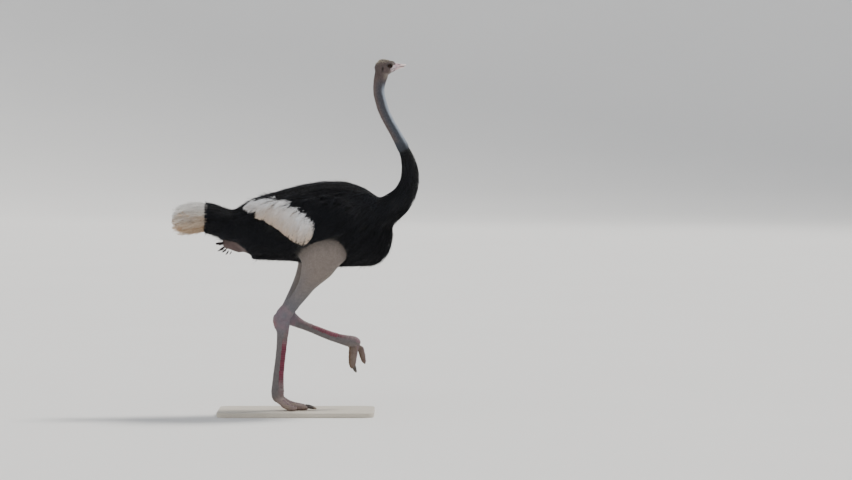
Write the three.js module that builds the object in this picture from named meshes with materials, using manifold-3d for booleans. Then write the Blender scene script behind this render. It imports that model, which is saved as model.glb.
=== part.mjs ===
// A life-size still model of a male Somali ostrich walking: it stands on its right leg, with its left foot lifted
// ahead of it and its neck held up in an S. A flat display base carries the standing foot.
//
// Millimetres. X runs forward, Y to the bird's left and Z up. The origin is the middle of the base's underside.
import * as THREE from "three";
import { mergeVertices } from "three/addons/utils/BufferGeometryUtils.js";
import Module from "manifold-3d";

const wasm = await Module();
wasm.setup();

// ---------------------------------------------------------------- driving dimensions

const GAP = 0.3; // clearance between touching solids
const RIGHT = -1; // the side of Y that each limb is on
const LEFT = 1;

const BASE = { length: 1000, width: 560, thickness: 30, corner: 70, bevel: 4 };

const CROWN_HEIGHT = 2250; // above the base's top, as the other heights are
const BACK_HEIGHT = 1471; // the top of the plumage
const BELLY_HEIGHT = 914;
const WAIST_HEIGHT = 1168; // where the trunk is widest
const TRUNK_HALF_WIDTH = 240;
const HOCK_HEIGHT = 592;
const ANKLE_HEIGHT = 92; // the joint that the toes leave

// ---------------------------------------------------------------- finishes

const finish = (color, roughness) => new THREE.MeshStandardMaterial({ color, roughness, metalness: 0 });
const SKIN_GREY = finish(0x7f7a80, 0.7);
const SHANK_ROSE = finish(0x9a5f70, 0.6);
const TOE_TAUPE = finish(0x857670, 0.75);
const BLACK_PLUMAGE = finish(0x0c0c0e, 0.85);
const WHITE_PLUMAGE = finish(0xe9e5de, 0.9);
const BILL_PINK = finish(0xd9b9c2, 0.45);
const EYE_BROWN = finish(0x1c1410, 0.08);
const CLAW_HORN = finish(0x4b423c, 0.4);
const BASE_PAINT = finish(0xcfcac0, 0.7);

// ---------------------------------------------------------------- solids

function solidOf(geometry) {
  const bare = geometry.clone();
  bare.deleteAttribute("normal");
  bare.deleteAttribute("uv");
  const merged = mergeVertices(bare, 1e-3);
  return new wasm.Manifold(
    new wasm.Mesh({
      numProp: 3,
      vertProperties: merged.attributes.position.array,
      triVerts: new Uint32Array(merged.index.array),
    }),
  );
}

function node(name, solid, material) {
  const { vertProperties, triVerts } = solid.getMesh();
  const geometry = new THREE.BufferGeometry()
    .setAttribute("position", new THREE.BufferAttribute(vertProperties, 3))
    .setIndex(new THREE.BufferAttribute(triVerts, 1));
  geometry.computeVertexNormals();
  const mesh = new THREE.Mesh(geometry, material);
  mesh.name = name;
  return mesh;
}

// A cylinder bent along a line of stations. A station is [x, y, z, over, under, side]: the ring's centre and how far
// the ring reaches from it. On a line that runs forward, over is up. On one that runs down, over is forward.
// fullness squares the rings off as it falls below 1. grow adds to every reach and to both ends.
function loft(stations, { around = 16, rings = 16, fullness = 1, grow = 0 } = {}) {
  const line = new THREE.CatmullRomCurve3(stations.map(([x, y, z]) => new THREE.Vector3(x, y, z)));
  const reach = new THREE.CatmullRomCurve3(
    stations.map(([, , , over, under, side]) => new THREE.Vector3(over, under, side)),
  );
  const geometry = new THREE.CylinderGeometry(1, 1, 1, around, rings);
  const place = geometry.attributes.position;
  const swell = (value) => Math.sign(value) * Math.abs(value) ** fullness;
  for (let i = 0; i < place.count; i++) {
    const t = THREE.MathUtils.clamp(0.5 - place.getY(i), 0, 1);
    const along = line.getTangent(t);
    const side = new THREE.Vector3(0, 1, 0).projectOnPlane(along).normalize();
    const over = along.clone().cross(side);
    const size = reach.getPoint(t);
    const rise = swell(place.getX(i));
    const push = t < 1e-6 ? -grow : t > 1 - 1e-6 ? grow : 0;
    const point = line
      .getPoint(t)
      .addScaledVector(along, push)
      .addScaledVector(over, rise * (Math.max(rise > 0 ? size.x : size.y, 1) + grow))
      .addScaledVector(side, -swell(place.getZ(i)) * (Math.max(size.z, 1) + grow));
    place.setXYZ(i, point.x, point.y, point.z);
  }
  return solidOf(geometry);
}

// A mirrored copy of stations: those of a limb are written for the left side, where Y is positive.
const onSide = (side, stations) => stations.map(([x, y, ...rest]) => [x, y * side, ...rest]);

// Half of space, as a box that starts half a gap beyond a point and runs the given way.
function beyond([x, y, z], [dx, dy, dz]) {
  const size = 4000;
  const way = new THREE.Vector3(dx, dy, dz).normalize();
  const box = new THREE.BoxGeometry(size, size, size)
    .translate(0, 0, size / 2 + GAP / 2)
    .applyQuaternion(new THREE.Quaternion().setFromUnitVectors(new THREE.Vector3(0, 0, 1), way))
    .translate(x, y, z);
  return solidOf(box);
}

const opposite = (way) => way.map((value) => -value);
const join = (...solids) => solids.reduce((whole, solid) => whole.add(solid));
const without = (solid, ...cutters) => cutters.reduce((rest, cutter) => rest.subtract(cutter), solid);

// ---------------------------------------------------------------- trunk and tail base

// From the root of the tail plumes, past the dip of the saddle, over the high back to the round breast.
const TRUNK = [
  [-590, 0, 1236, 98, 98, 76],
  [-560, 0, 1236, 98, 103, 80],
  [-518, 0, 1214, 105, 106, 83],
  [-454, 0, 1190, 104, 98, 94],
  [-410, 0, 1173, 121, 126, 114],
  [-358, 0, 1166, 148, 146, 138],
  [-314, 0, 1163, 176, 184, 158],
  [-262, 0, 1163, 198, 203, 176],
  [-166, 0, 1163, 227, 207, 200],
  [-70, 0, 1165, 250, 212, 222],
  [26, 0, 1167, 276, 226, 234],
  [122, 0, WAIST_HEIGHT, 294, 245, 240],
  [218, 0, WAIST_HEIGHT, BACK_HEIGHT - WAIST_HEIGHT, WAIST_HEIGHT - BELLY_HEIGHT, TRUNK_HALF_WIDTH],
  [314, 0, 1166, 300, 251, 232],
  [410, 0, 1162, 272, 247, 212],
  [486, 0, 1156, 232, 240, 182],
  [545, 0, 1152, 180, 224, 146],
  [582, 0, 1150, 130, 176, 106],
  [606, 0, 1150, 84, 124, 68],
  [620, 0, 1150, 44, 78, 38],
  [627, 0, 1150, 5, 5, 5],
];
const TAIL_ROOT_X = -462; // where the tail leaves the trunk

const trunkLoft = (grow = 0) => loft(TRUNK, { around: 20, rings: 23, fullness: 0.94, grow });
const body = trunkLoft();
const bodyClearance = trunkLoft(GAP);

// Half the trunk's width at a place on its side.
function flank(x, z) {
  const i = TRUNK.findIndex(([stationX]) => stationX > x);
  const [a, b] = [TRUNK[i - 1], TRUNK[i]];
  const share = (x - a[0]) / (b[0] - a[0]);
  const [, , waist, over, under, side] = a.map((value, k) => THREE.MathUtils.lerp(value, b[k], share));
  const rise = Math.min(Math.abs(z - waist) / (z > waist ? over : under), 0.98);
  return side * Math.sqrt(1 - rise * rise);
}

// ---------------------------------------------------------------- neck and head

// Down from inside the skull, in an S, to inside the breast.
const NECK = [
  [566, 0, 2190, 20, 44, 30],
  [546, 0, 2143, 46, 44, 36],
  [533, 0, 2086, 39, 39, 34],
  [529, 0, 2041, 37.5, 37.5, 32],
  [539, 0, 1990, 37, 37, 31.5],
  [555, 0, 1932, 37, 37, 31],
  [582, 0, 1868, 35, 35, 31],
  [618, 0, 1804, 35, 35, 31],
  [654, 0, 1740, 36.5, 36.5, 33],
  [687, 0, 1676, 41, 41, 38],
  [714, 0, 1612, 51, 51, 47],
  [730, 0, 1548, 59, 59, 56],
  [730, 0, 1484, 65, 65, 66],
  [718, 0, 1426, 71, 71, 76],
  [690, 0, 1366, 80, 84, 92],
  [640, 0, 1305, 82, 104, 118],
  [560, 0, 1240, 86, 125, 150],
  [470, 0, 1190, 90, 140, 150],
];
const NECK_CUTS = {
  skull: { point: [538, 0, 2112], down: [-0.15, 0, -1] },
  upper: { point: [585, 0, 1863], down: [0.46, 0, -0.89] },
  lower: { point: [690, 0, 1670], down: [0.43, 0, -0.9] },
};

// The skull from the nape to the face, low and long, widest across the eyes.
const SKULL = [
  [512, 0, 2218, 6, 8, 6],
  [517, 0, 2213, 24, 34, 19],
  [531, 0, 2209, 34, 58, 31],
  [557, 0, 2206, CROWN_HEIGHT - 2206, 66, 37],
  [586, 0, 2203, 42, 64, 38],
  [608, 0, 2199, 38, 54, 36],
  [627, 0, 2195, 33, 33, 29],
  [644, 0, 2194, 21, 20, 22],
  [654, 0, 2195, 14, 12, 18],
];
// A wide flat bill with a rounded nail at its tip. The lower half is a shallow trough under it.
const UPPER_BILL = [
  [630, 0, 2200, 14, 6, 20],
  [642, 0, 2200, 16, 9, 21],
  [658, 0, 2201, 13.5, 7, 19.5],
  [673, 0, 2202, 12, 6, 17.5],
  [689, 0, 2204, 10, 5, 14.5],
  [698, 0, 2204, 8, 5, 9.5],
  [704, 0, 2204, 3, 3, 4],
];
const LOWER_BILL = [
  [622, 0, 2181, 4, 10, 17],
  [634, 0, 2185, 4.5, 13, 18.5],
  [652, 0, 2189, 4.5, 10, 17.5],
  [670, 0, 2192.5, 3.5, 6.5, 15],
  [685, 0, 2195, 2.5, 4.5, 11.5],
  [695, 0, 2196.5, 1.5, 2.5, 5],
];
const EYE = { x: 603, y: 20.5, z: 2201, radius: 19 };

function buildHeadAndNeck() {
  const neck = loft(NECK, { around: 12, rings: 21 });
  const whole = join(neck, loft(SKULL, { around: 12, rings: 10 }));
  const { skull, upper, lower } = NECK_CUTS;
  const eyeball = (side, grow = 0) =>
    solidOf(new THREE.SphereGeometry(EYE.radius + grow, 10, 6).translate(EYE.x, EYE.y * side, EYE.z));
  const upperBill = (grow) => loft(UPPER_BILL, { around: 10, rings: 6, grow });
  const lowerBill = (grow) => loft(LOWER_BILL, { around: 8, rings: 5, grow });
  const head = without(
    whole.intersect(beyond(skull.point, opposite(skull.down))),
    ...[RIGHT, LEFT].map((side) => eyeball(side, GAP)),
    upperBill(GAP),
    lowerBill(GAP),
  );
  const length = (from, to) =>
    neck.intersect(beyond(from.point, from.down)).intersect(beyond(to.point, opposite(to.down)));
  return [
    node("head", head, SKIN_GREY),
    node("bill_upper", upperBill(0), BILL_PINK),
    node("bill_lower", without(lowerBill(0), upperBill(GAP)), BILL_PINK),
    node("eye_right", eyeball(RIGHT), EYE_BROWN),
    node("eye_left", eyeball(LEFT), EYE_BROWN),
    node("neck_upper", length(skull, upper), SKIN_GREY),
    node("neck_middle", length(upper, lower), SKIN_GREY),
    node("neck_lower", without(neck.intersect(beyond(lower.point, lower.down)), bodyClearance), BLACK_PLUMAGE),
  ];
}

// ---------------------------------------------------------------- wings

// The closed wing's black coverts, from its rear to the shoulder, as a shallow pad on the trunk's side.
const WING = [
  [-118, 190, 1318, 34, 34, 12],
  [-50, 204, 1290, 92, 76, 32],
  [50, 222, 1262, 138, 136, 44],
  [160, 230, 1240, 160, 168, 46],
  [265, 224, 1236, 154, 160, 42],
  [350, 206, 1244, 122, 118, 34],
  [420, 184, 1254, 46, 46, 12],
];
// The white flight plumes leave the coverts' rear edge, and fan from backwards at the top to downwards in front.
const WING_PLUME_ROOTS = [
  [-104, 1362],
  [-26, 1322],
  [58, 1268],
  [106, 1204],
  [100, 1128],
];
const WING_PLUME_TIPS = [
  [-338, 1298],
  [-246, 1226],
  [-140, 1176],
  [-52, 1110],
  [36, 1056],
];
const WING_PLUMES = 6;
const WING_PLUME = { width: 50, thickness: 15, lift: 26, tipLift: 12, held: 200 };

const inPlane = (points) => new THREE.CatmullRomCurve3(points.map(([x, z]) => new THREE.Vector3(x, 0, z)));

// One soft plume between two points of a wing's side: full along its middle, and closing to a round tip.
function wingPlume(side, from, to, grow) {
  const swell = [0.75, 0.95, 1.05, 1, 0.75, 0.2];
  return loft(
    swell.map((size, i) => {
      const share = i / (swell.length - 1);
      const { x, z } = from.clone().lerp(to, share);
      const lift = THREE.MathUtils.lerp(WING_PLUME.lift, WING_PLUME.tipLift, share);
      const y = THREE.MathUtils.lerp(flank(x, z), WING_PLUME.held, 0.6) + lift;
      const width = WING_PLUME.width * size;
      return [x, side * y, z, width, width, WING_PLUME.thickness * Math.sqrt(size)];
    }),
    { around: 6, rings: 4, grow },
  );
}

function buildWing(side, name) {
  const coverts = (grow = 0) => loft(onSide(side, WING), { around: 10, rings: 7, grow });
  const roots = inPlane(WING_PLUME_ROOTS);
  const tips = inPlane(WING_PLUME_TIPS);
  const plumes = (grow = 0) =>
    join(
      ...Array.from({ length: WING_PLUMES }, (_, k) => {
        const share = k / (WING_PLUMES - 1);
        return wingPlume(side, roots.getPoint(share), tips.getPoint(share), grow);
      }),
    );
  return {
    clearances: [coverts(GAP), plumes(GAP)],
    nodes: [
      node(`wing_${name}`, without(coverts(), bodyClearance, plumes(GAP)), BLACK_PLUMAGE),
      node(`wing_plumes_${name}`, without(plumes(), bodyClearance), WHITE_PLUMAGE),
    ],
  };
}

// ---------------------------------------------------------------- tail plumes and vent

const TAIL_PLUMES = 6;
const TAIL_FAN = { rootX: -575, tipX: -800, z: 1230, rootRise: 66, rootSpread: 44, tipRise: 72, tipSpread: 78 };
const TAIL_CORE = [
  [-794, 0, 1222, 20, 20, 20],
  [-765, 0, 1224, 78, 68, 66],
  [-695, 0, 1231, 104, 92, 86],
  [-575, 0, 1236, 98, 96, 76],
];

function buildTail(trunkEnd) {
  const { rootX, tipX, z, rootRise, rootSpread, tipRise, tipSpread } = TAIL_FAN;
  const plumes = Array.from({ length: TAIL_PLUMES }, (_, k) => {
    const turn = (2 * Math.PI * k) / TAIL_PLUMES;
    const [rise, spread] = [Math.cos(turn), Math.sin(turn)];
    const droop = 14 * (1 - rise);
    const tip = tipX + droop + 9 * ((k * 2) % 3);
    return loft(
      [
        [tip, tipSpread * spread, z - 12 + tipRise * rise, 7, 7, 7],
        [tip + 22, tipSpread * spread, z - 8 + tipRise * rise, 27, 27, 25],
        [(tip + rootX) / 2 + 10, 0.9 * tipSpread * spread, z + (tipRise + 4) * rise, 40, 36, 38],
        [rootX, rootSpread * spread, z + rootRise * rise, 34, 30, 30],
      ],
      { around: 6, rings: 4 },
    );
  });
  const core = loft(TAIL_CORE, { around: 8, rings: 4 });
  return node("tail_plumes", join(core, ...plumes).intersect(trunkEnd), WHITE_PLUMAGE);
}

// Bare skin under the tail, with a short fringe of dark feather spines behind it.
const VENT = [
  [-462, 0, 1086, 14, 14, 14],
  [-448, 0, 1077, 34, 30, 34],
  [-410, 0, 1060, 54, 38, 48],
  [-356, 0, 1040, 50, 36, 44],
  [-312, 0, 1020, 30, 30, 24],
];
const FRINGE_ROOT = [-440, 1062];
const FRINGE_TIPS = [
  [-512, 16, 1070],
  [-496, -14, 1038],
  [-472, 8, 1014],
  [-450, -10, 998],
];

function buildVent() {
  const [rootX, rootZ] = FRINGE_ROOT;
  const spines = FRINGE_TIPS.map(([x, y, z]) =>
    loft(
      [
        [x, y, z, 1.2, 1.2, 1.2],
        [(x + rootX) / 2, y * 0.8, (z + rootZ) / 2, 6, 6, 6],
        [rootX, y * 0.5, rootZ, 5, 5, 5],
      ],
      { around: 5, rings: 2 },
    ),
  );
  return node("vent", without(join(loft(VENT, { around: 8, rings: 5 }), ...spines), bodyClearance), SKIN_GREY);
}

// ---------------------------------------------------------------- legs

// Each leg is written for the left side. The drumstick runs down to the hock, and the shank on to the ankle.
const STANDING_LEG = {
  side: RIGHT,
  name: "right",
  drumstick: [
    [240, 128, 1180, 70, 96, 60],
    [222, 144, 1110, 124, 124, 92],
    [192, 150, 1030, 140, 140, 98],
    [159, 148, 966, 126, 126, 94],
    [132, 144, 905, 104, 104, 86],
    [104, 138, 856, 80, 80, 72],
    [72, 131, 806, 60, 60, 56],
    [36, 121, 748, 49, 50, 44],
    [-8, 110, 694, 48, 48, 39],
    [-50, 102, 650, 50, 50, 40],
    [-76, 97, 612, 50, 54, 42],
    [-90, 95, 584, 40, 44, 34],
  ],
  shank: [
    [-84, 95, HOCK_HEIGHT + 34, 30, 34, 32],
    [-90, 95, HOCK_HEIGHT, 56, 60, 45],
    [-90, 94, 556, 58, 56, 43],
    [-82, 91, 508, 41, 41, 34],
    [-89, 86, 440, 35, 35, 26],
    [-98, 80, 345, 33.5, 33.5, 23],
    [-109, 76, 250, 34, 36, 23],
    [-115, 72, 165, 39, 40, 27],
    [-118, 70, ANKLE_HEIGHT + 14, 43, 42, 38],
    [-116, 70, ANKLE_HEIGHT - 16, 42, 36, 38],
    [-112, 70, ANKLE_HEIGHT - 40, 22, 16, 22],
  ],
  hockCuts: {
    above: { point: [-36, -106, 643], way: [0.69, 0, 0.72] },
    below: { point: [-84, -91, 520], way: [0.02, 0, -1] },
  },
  ankleCut: { point: [-116, -70, 78], way: [0.55, 0, -0.84] },
  toes: {
    inner: [
      [-120, 66, 84, 26, 26, 30],
      [-86, 63, 58, 32, 28, 31],
      [-46, 60, 36, 29, 32, 31],
      [6, 57, 27, 23, 30, 30],
      [48, 54, 23, 19, 28, 28],
      [74, 52, 19, 14, 22, 22],
      [84, 51, 17, 6, 8, 9],
    ],
    outer: [
      [-120, 84, 80, 22, 24, 21],
      [-90, 97, 54, 24, 22, 22],
      [-54, 111, 31, 19, 28, 21],
      [-18, 124, 23, 15, 26, 20],
      [4, 132, 18, 10, 18, 14],
      [11, 135, 16, 4, 6, 5],
    ],
    claw: [
      [56, 53, 25, 13, 12, 15],
      [82, 51, 22, 13, 12, 15],
      [110, 49, 16, 10, 9, 11],
      [132, 47, 9, 3, 4, 3],
    ],
  },
};
const LIFTED_LEG = {
  side: LEFT,
  name: "left",
  drumstick: [
    [176, 128, 1180, 70, 90, 60],
    [160, 146, 1110, 116, 116, 92],
    [138, 150, 1030, 130, 130, 97],
    [112, 148, 950, 112, 112, 90],
    [82, 142, 886, 90, 88, 80],
    [48, 134, 828, 70, 70, 64],
    [14, 124, 776, 55, 56, 50],
    [-18, 114, 722, 48, 49, 43],
    [-46, 105, 660, 46, 50, 40],
    [-60, 98, 608, 48, 52, 42],
    [-66, 97, 575, 30, 36, 32],
  ],
  shank: [
    [-90, 97, 598, 34, 30, 30],
    [-62, 97, 592, 52, 50, 44],
    [-20, 95, 568, 46, 44, 42],
    [24, 93, 544, 31, 31, 33],
    [90, 90, 517, 28, 28, 25],
    [154, 87, 491, 30, 30, 23],
    [218, 84, 466, 31, 31, 24],
    [282, 82, 447, 33, 33, 26],
    [340, 80, 434, 38, 40, 34],
    [376, 80, 428, 38, 40, 38],
    [402, 80, 424, 24, 24, 26],
    [412, 80, 422, 8, 8, 10],
  ],
  hockCuts: {
    above: { point: [-45, 105, 664], way: [0.49, 0, 0.87] },
    below: { point: [-2, 94, 556], way: [0.93, 0, -0.37] },
  },
  ankleCut: { point: [376, 80, 398], way: [0.1, 0, -1] },
  toes: {
    inner: [
      [378, 72, 432, 26, 28, 29],
      [372, 68, 402, 28, 34, 30],
      [366, 64, 364, 28, 34, 30],
      [362, 60, 318, 25, 32, 28],
      [362, 58, 286, 21, 28, 25],
      [366, 57, 264, 14, 19, 19],
      [369, 57, 255, 5, 7, 8],
    ],
    outer: [
      [386, 92, 428, 22, 24, 21],
      [408, 102, 396, 22, 24, 21],
      [422, 111, 356, 18, 25, 20],
      [430, 117, 322, 15, 23, 18],
      [437, 121, 296, 11, 17, 13],
      [443, 123, 279, 4, 6, 5],
    ],
    claw: [
      [365, 58, 286, 12, 13, 14],
      [370, 57, 264, 13, 12, 14],
      [377, 57, 246, 9, 8, 10],
      [386, 57, 234, 3, 4, 3],
    ],
  },
};
const TOE_CLEARANCE_HEIGHT = GAP; // the flat soles stand a gap above the base

function buildLeg({ side, name, drumstick, shank, hockCuts, ankleCut, toes }, hidden) {
  const limb = (stations, around, rings) => loft(onSide(side, stations), { around, rings });
  const drumstickLoft = limb(drumstick, 12, 11);
  const shankLoft = limb(shank, 10, 13);
  const above = beyond(hockCuts.above.point, hockCuts.above.way);
  const below = beyond(hockCuts.below.point, hockCuts.below.way);
  const belowAnkle = beyond(ankleCut.point, ankleCut.way);
  const notAbove = beyond(hockCuts.above.point, opposite(hockCuts.above.way));
  const notBelow = beyond(hockCuts.below.point, opposite(hockCuts.below.way));
  const aboveAnkle = beyond(ankleCut.point, opposite(ankleCut.way));
  const overBase = beyond([0, 0, TOE_CLEARANCE_HEIGHT - GAP / 2], [0, 0, 1]);

  const toe = (stations, grow = 0) => loft(onSide(side, stations), { around: 8, rings: 6, fullness: 0.9, grow });
  const claw = (grow = 0) => loft(onSide(side, toes.claw), { around: 6, rings: 4, grow });
  const inner = without(toe(toes.inner).intersect(belowAnkle).intersect(overBase), claw(GAP));
  const outer = without(toe(toes.outer).intersect(belowAnkle).intersect(overBase), toe(toes.inner, GAP));
  const heelPad = shankLoft.intersect(belowAnkle).intersect(overBase);
  return [
    node(`drumstick_${name}`, without(drumstickLoft.intersect(above), ...hidden), SKIN_GREY),
    node(`hock_${name}`, join(drumstickLoft, shankLoft).intersect(notAbove).intersect(notBelow), SKIN_GREY),
    node(`shank_${name}`, shankLoft.intersect(below).intersect(aboveAnkle), SHANK_ROSE),
    node(`toe_inner_${name}`, join(inner, without(heelPad, toe(toes.outer, GAP), claw(GAP))), TOE_TAUPE),
    node(`toe_outer_${name}`, outer, TOE_TAUPE),
    node(`claw_${name}`, claw().intersect(overBase), CLAW_HORN),
  ];
}

// ---------------------------------------------------------------- display base

// A plain board with round corners and a softened upper edge.
function buildBase() {
  const { length, width, thickness, corner, bevel } = BASE;
  const [x, y] = [length / 2 - bevel, width / 2 - bevel];
  const board = new THREE.Shape()
    .moveTo(-x + corner, -y)
    .lineTo(x - corner, -y)
    .absarc(x - corner, -y + corner, corner, -Math.PI / 2, 0, false)
    .absarc(x - corner, y - corner, corner, 0, Math.PI / 2, false)
    .absarc(-x + corner, y - corner, corner, Math.PI / 2, Math.PI, false)
    .absarc(-x + corner, -y + corner, corner, Math.PI, 1.5 * Math.PI, false);
  const geometry = new THREE.ExtrudeGeometry(board, {
    depth: thickness - 2 * bevel,
    bevelThickness: bevel,
    bevelSize: bevel,
    bevelSegments: 1,
    curveSegments: 3,
  });
  return node("stand_base", solidOf(geometry.translate(0, 0, bevel)), BASE_PAINT);
}

// ---------------------------------------------------------------- assembly

const wings = [buildWing(RIGHT, "right"), buildWing(LEFT, "left")];
const tailPart = body.intersect(beyond([TAIL_ROOT_X, 0, 0], [-1, 0, 0]));
const trunkPart = body.intersect(beyond([TAIL_ROOT_X, 0, 0], [1, 0, 0]));
const overThighs = [bodyClearance, ...wings.flatMap(({ clearances }) => clearances)];

const bird = new THREE.Group();
bird.position.z = BASE.thickness;
bird.add(
  ...buildHeadAndNeck(),
  node("trunk", trunkPart, BLACK_PLUMAGE),
  node("tail_base", tailPart, BLACK_PLUMAGE),
  buildTail(beyond([TRUNK[0][0] - GAP / 2, 0, 0], [-1, 0, 0])),
  buildVent(),
  ...wings.flatMap((wing) => wing.nodes),
  ...buildLeg(STANDING_LEG, overThighs),
  ...buildLeg(LIFTED_LEG, overThighs),
);

const ostrich = new THREE.Group();
ostrich.add(bird, buildBase());
ostrich.position.x = -new THREE.Box3().setFromObject(ostrich).getCenter(new THREE.Vector3()).x;

export default ostrich;
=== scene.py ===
import math

import bmesh
import bpy
import numpy as np
from mathutils import Matrix, Vector
from mathutils.bvhtree import BVHTree
from mathutils.kdtree import KDTree


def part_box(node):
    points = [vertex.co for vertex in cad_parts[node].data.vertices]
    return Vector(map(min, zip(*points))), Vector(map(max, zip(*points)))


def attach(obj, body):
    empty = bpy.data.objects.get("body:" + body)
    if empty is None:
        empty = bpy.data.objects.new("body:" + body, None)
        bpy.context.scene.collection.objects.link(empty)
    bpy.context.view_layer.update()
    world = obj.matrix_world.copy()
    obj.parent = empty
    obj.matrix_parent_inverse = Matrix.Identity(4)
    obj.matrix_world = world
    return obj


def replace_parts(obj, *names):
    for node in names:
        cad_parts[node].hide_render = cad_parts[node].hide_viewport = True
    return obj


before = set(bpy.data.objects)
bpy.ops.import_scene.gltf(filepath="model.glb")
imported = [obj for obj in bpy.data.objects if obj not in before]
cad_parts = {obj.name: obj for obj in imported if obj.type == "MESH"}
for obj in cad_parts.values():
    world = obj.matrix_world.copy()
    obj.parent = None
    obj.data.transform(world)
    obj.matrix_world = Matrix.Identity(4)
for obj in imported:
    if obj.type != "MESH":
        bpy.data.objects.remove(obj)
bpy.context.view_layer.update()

# ---------------------------------------------------------------- display base
# A plain fibreboard plinth with round corners and softened edges, painted matt sand, under the standing foot.
# Places here and below are in millimetres from the ground under the bird: X forward, Y to its left, Z up.

BOARD_CORNER = 70
BOARD_EDGE = 4
BOARD_SAND = (198, 192, 180)
BOARD_DUST = (182, 174, 160)

board_low, board_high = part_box("stand_base")
GROUND = Vector(((board_low.x + board_high.x) / 2, 0, board_high.z))
TO_FRAME = Matrix.Translation(GROUND) @ Matrix.Scale(0.001, 4)


def in_millimetres(points):
    return (np.asarray(points) - np.array(GROUND)) * 1000


def in_frame(points):
    return np.asarray(points) / 1000 + np.array(GROUND)


def colour(red, green, blue):
    """A colour from 0 to 255, as the linear colour that a shader takes."""
    return tuple(np.power((np.array([red, green, blue]) / 255 + 0.055) / 1.055, 2.4)) + (1,)


def finish(name, **constants):
    """A new material. The values that are the same all over the surface are set on its shader."""
    material = bpy.data.materials.new(name)
    material.use_nodes = True
    shader = material.node_tree.nodes["Principled BSDF"]
    for socket, value in constants.items():
        shader.inputs[socket.replace("_", " ")].default_value = value
    return material


def wire(material, kind, inputs, **settings):
    """A new shader node. An input is a value, or the output of another node."""
    node = material.node_tree.nodes.new("ShaderNode" + kind)
    for name, value in settings.items():
        setattr(node, name, value)
    for name, value in inputs.items():
        if isinstance(value, bpy.types.NodeSocket):
            material.node_tree.links.new(value, node.inputs[name])
        else:
            node.inputs[name].default_value = value
    return node


def blend_colours(material, share, first, second, way="MIX"):
    """Two colours mixed. The colour sockets of a Mix node are its inputs 6 and 7 and its output 2."""
    node = wire(material, "Mix", {0: share, 6: first, 7: second}, data_type="RGBA", blend_type=way)
    return node.outputs[2]


def ranged(material, value, ends, between=(0.0, 1.0)):
    """A pattern's value, stretched so that what lay between two values runs between two others."""
    low, high = between
    start, end = ends
    stretched = {"Value": value, "From Min": low, "From Max": high, "To Min": start, "To Max": end}
    return wire(material, "MapRange", stretched).outputs[0]


def connect(material, output, shader_input):
    material.node_tree.links.new(output, material.node_tree.nodes["Principled BSDF"].inputs[shader_input])


def put(name, mesh, material):
    """A finished piece: its mesh is already in metres and in its place."""
    mesh.name = name
    mesh.materials.clear()
    mesh.materials.append(material)
    piece = bpy.data.objects.new(name, mesh)
    bpy.context.scene.collection.objects.link(piece)
    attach(piece, "root")
    return piece


def mesh_of(form, smooth=True):
    """A bmesh in millimetres, made into a mesh in the frame."""
    bmesh.ops.transform(form, matrix=TO_FRAME, verts=form.verts)
    mesh = bpy.data.meshes.new("mesh")
    form.to_mesh(mesh)
    form.free()
    if smooth:
        mesh.shade_smooth()
    return mesh


def board_paint():
    material = finish("board_paint", Specular_IOR_Level=0.35)
    place = wire(material, "TexCoord", {}).outputs["Object"]
    cloud = wire(material, "TexNoise", {"Vector": place, "Scale": 6.0, "Detail": 5.0, "Roughness": 0.6})
    grit = wire(material, "TexNoise", {"Vector": place, "Scale": 900.0, "Detail": 2.0})
    paint = blend_colours(material, cloud.outputs[0], colour(*BOARD_SAND), colour(*BOARD_DUST))
    connect(material, paint, "Base Color")
    connect(material, ranged(material, cloud.outputs[0], (0.55, 0.75)), "Roughness")
    bump = wire(material, "Bump", {"Height": grit.outputs[0], "Strength": 0.25, "Distance": 0.0004})
    connect(material, bump.outputs[0], "Normal")
    return material


board = bmesh.new()
bmesh.ops.create_cube(board, size=1)
low, high = in_millimetres(board_low), in_millimetres(board_high)
bmesh.ops.scale(board, vec=Vector(high - low), verts=board.verts)
bmesh.ops.translate(board, vec=Vector((high + low) / 2), verts=board.verts)
upright = [e for e in board.edges if abs(e.verts[0].co.z - e.verts[1].co.z) > 1]
bmesh.ops.bevel(
    board, geom=upright, offset=BOARD_CORNER, segments=14, profile=0.5, affect="EDGES", material=-1
)
rims = [e for e in board.edges if abs(e.verts[0].co.z - e.verts[1].co.z) < 1e-3 and e.calc_face_angle(0) > 1]
bmesh.ops.bevel(board, geom=rims, offset=BOARD_EDGE, segments=4, profile=0.5, affect="EDGES", material=-1)
plinth = put("display_board", mesh_of(board, smooth=False), board_paint())
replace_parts(plinth, "stand_base")

# ---------------------------------------------------------------- skin
# The one hide of the whole bird, bare or thinly haired on head, neck and legs, and under the coat elsewhere.
# The frame's flesh is cast as one lump, dressed with an even skin of faces, smoothed and then modelled: lids,
# gape, ears, folds, the creases of the hocks and the toe pads.

SIDES = {"right": -1, "left": 1}
LEG_NODES = ["drumstick", "hock", "shank", "toe_inner", "toe_outer"]
FLESH = [
    "head", "neck_upper", "neck_middle", "neck_lower", "trunk", "tail_base", "vent", "wing_right",
    "wing_left"
]
FLESH += [f"{node}_{side}" for node in LEG_NODES for side in SIDES]
FILLERS = ["eye_right", "eye_left", "bill_upper", "bill_lower", "wing_plumes_right", "wing_plumes_left"]
COAT_NODES = ["neck_middle", "neck_lower", "trunk", "tail_base", "wing_right", "wing_left"]
COAT_NODES += ["wing_plumes_right", "wing_plumes_left"]
UNDER_COAT = {"trunk", "tail_base", "wing_right", "wing_left", "neck_lower"}

SKIN_STEP = 6.3  # the length of a face's edge, before the fine places are divided
KEPT_SHARE = 0.39  # of all the even faces: the rest go from under the coat
COAT_DEPTH = 16.0
NECK_COAT_DEPTH = 6.0
CROWN_COAT_DEPTH = 5.0

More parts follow.
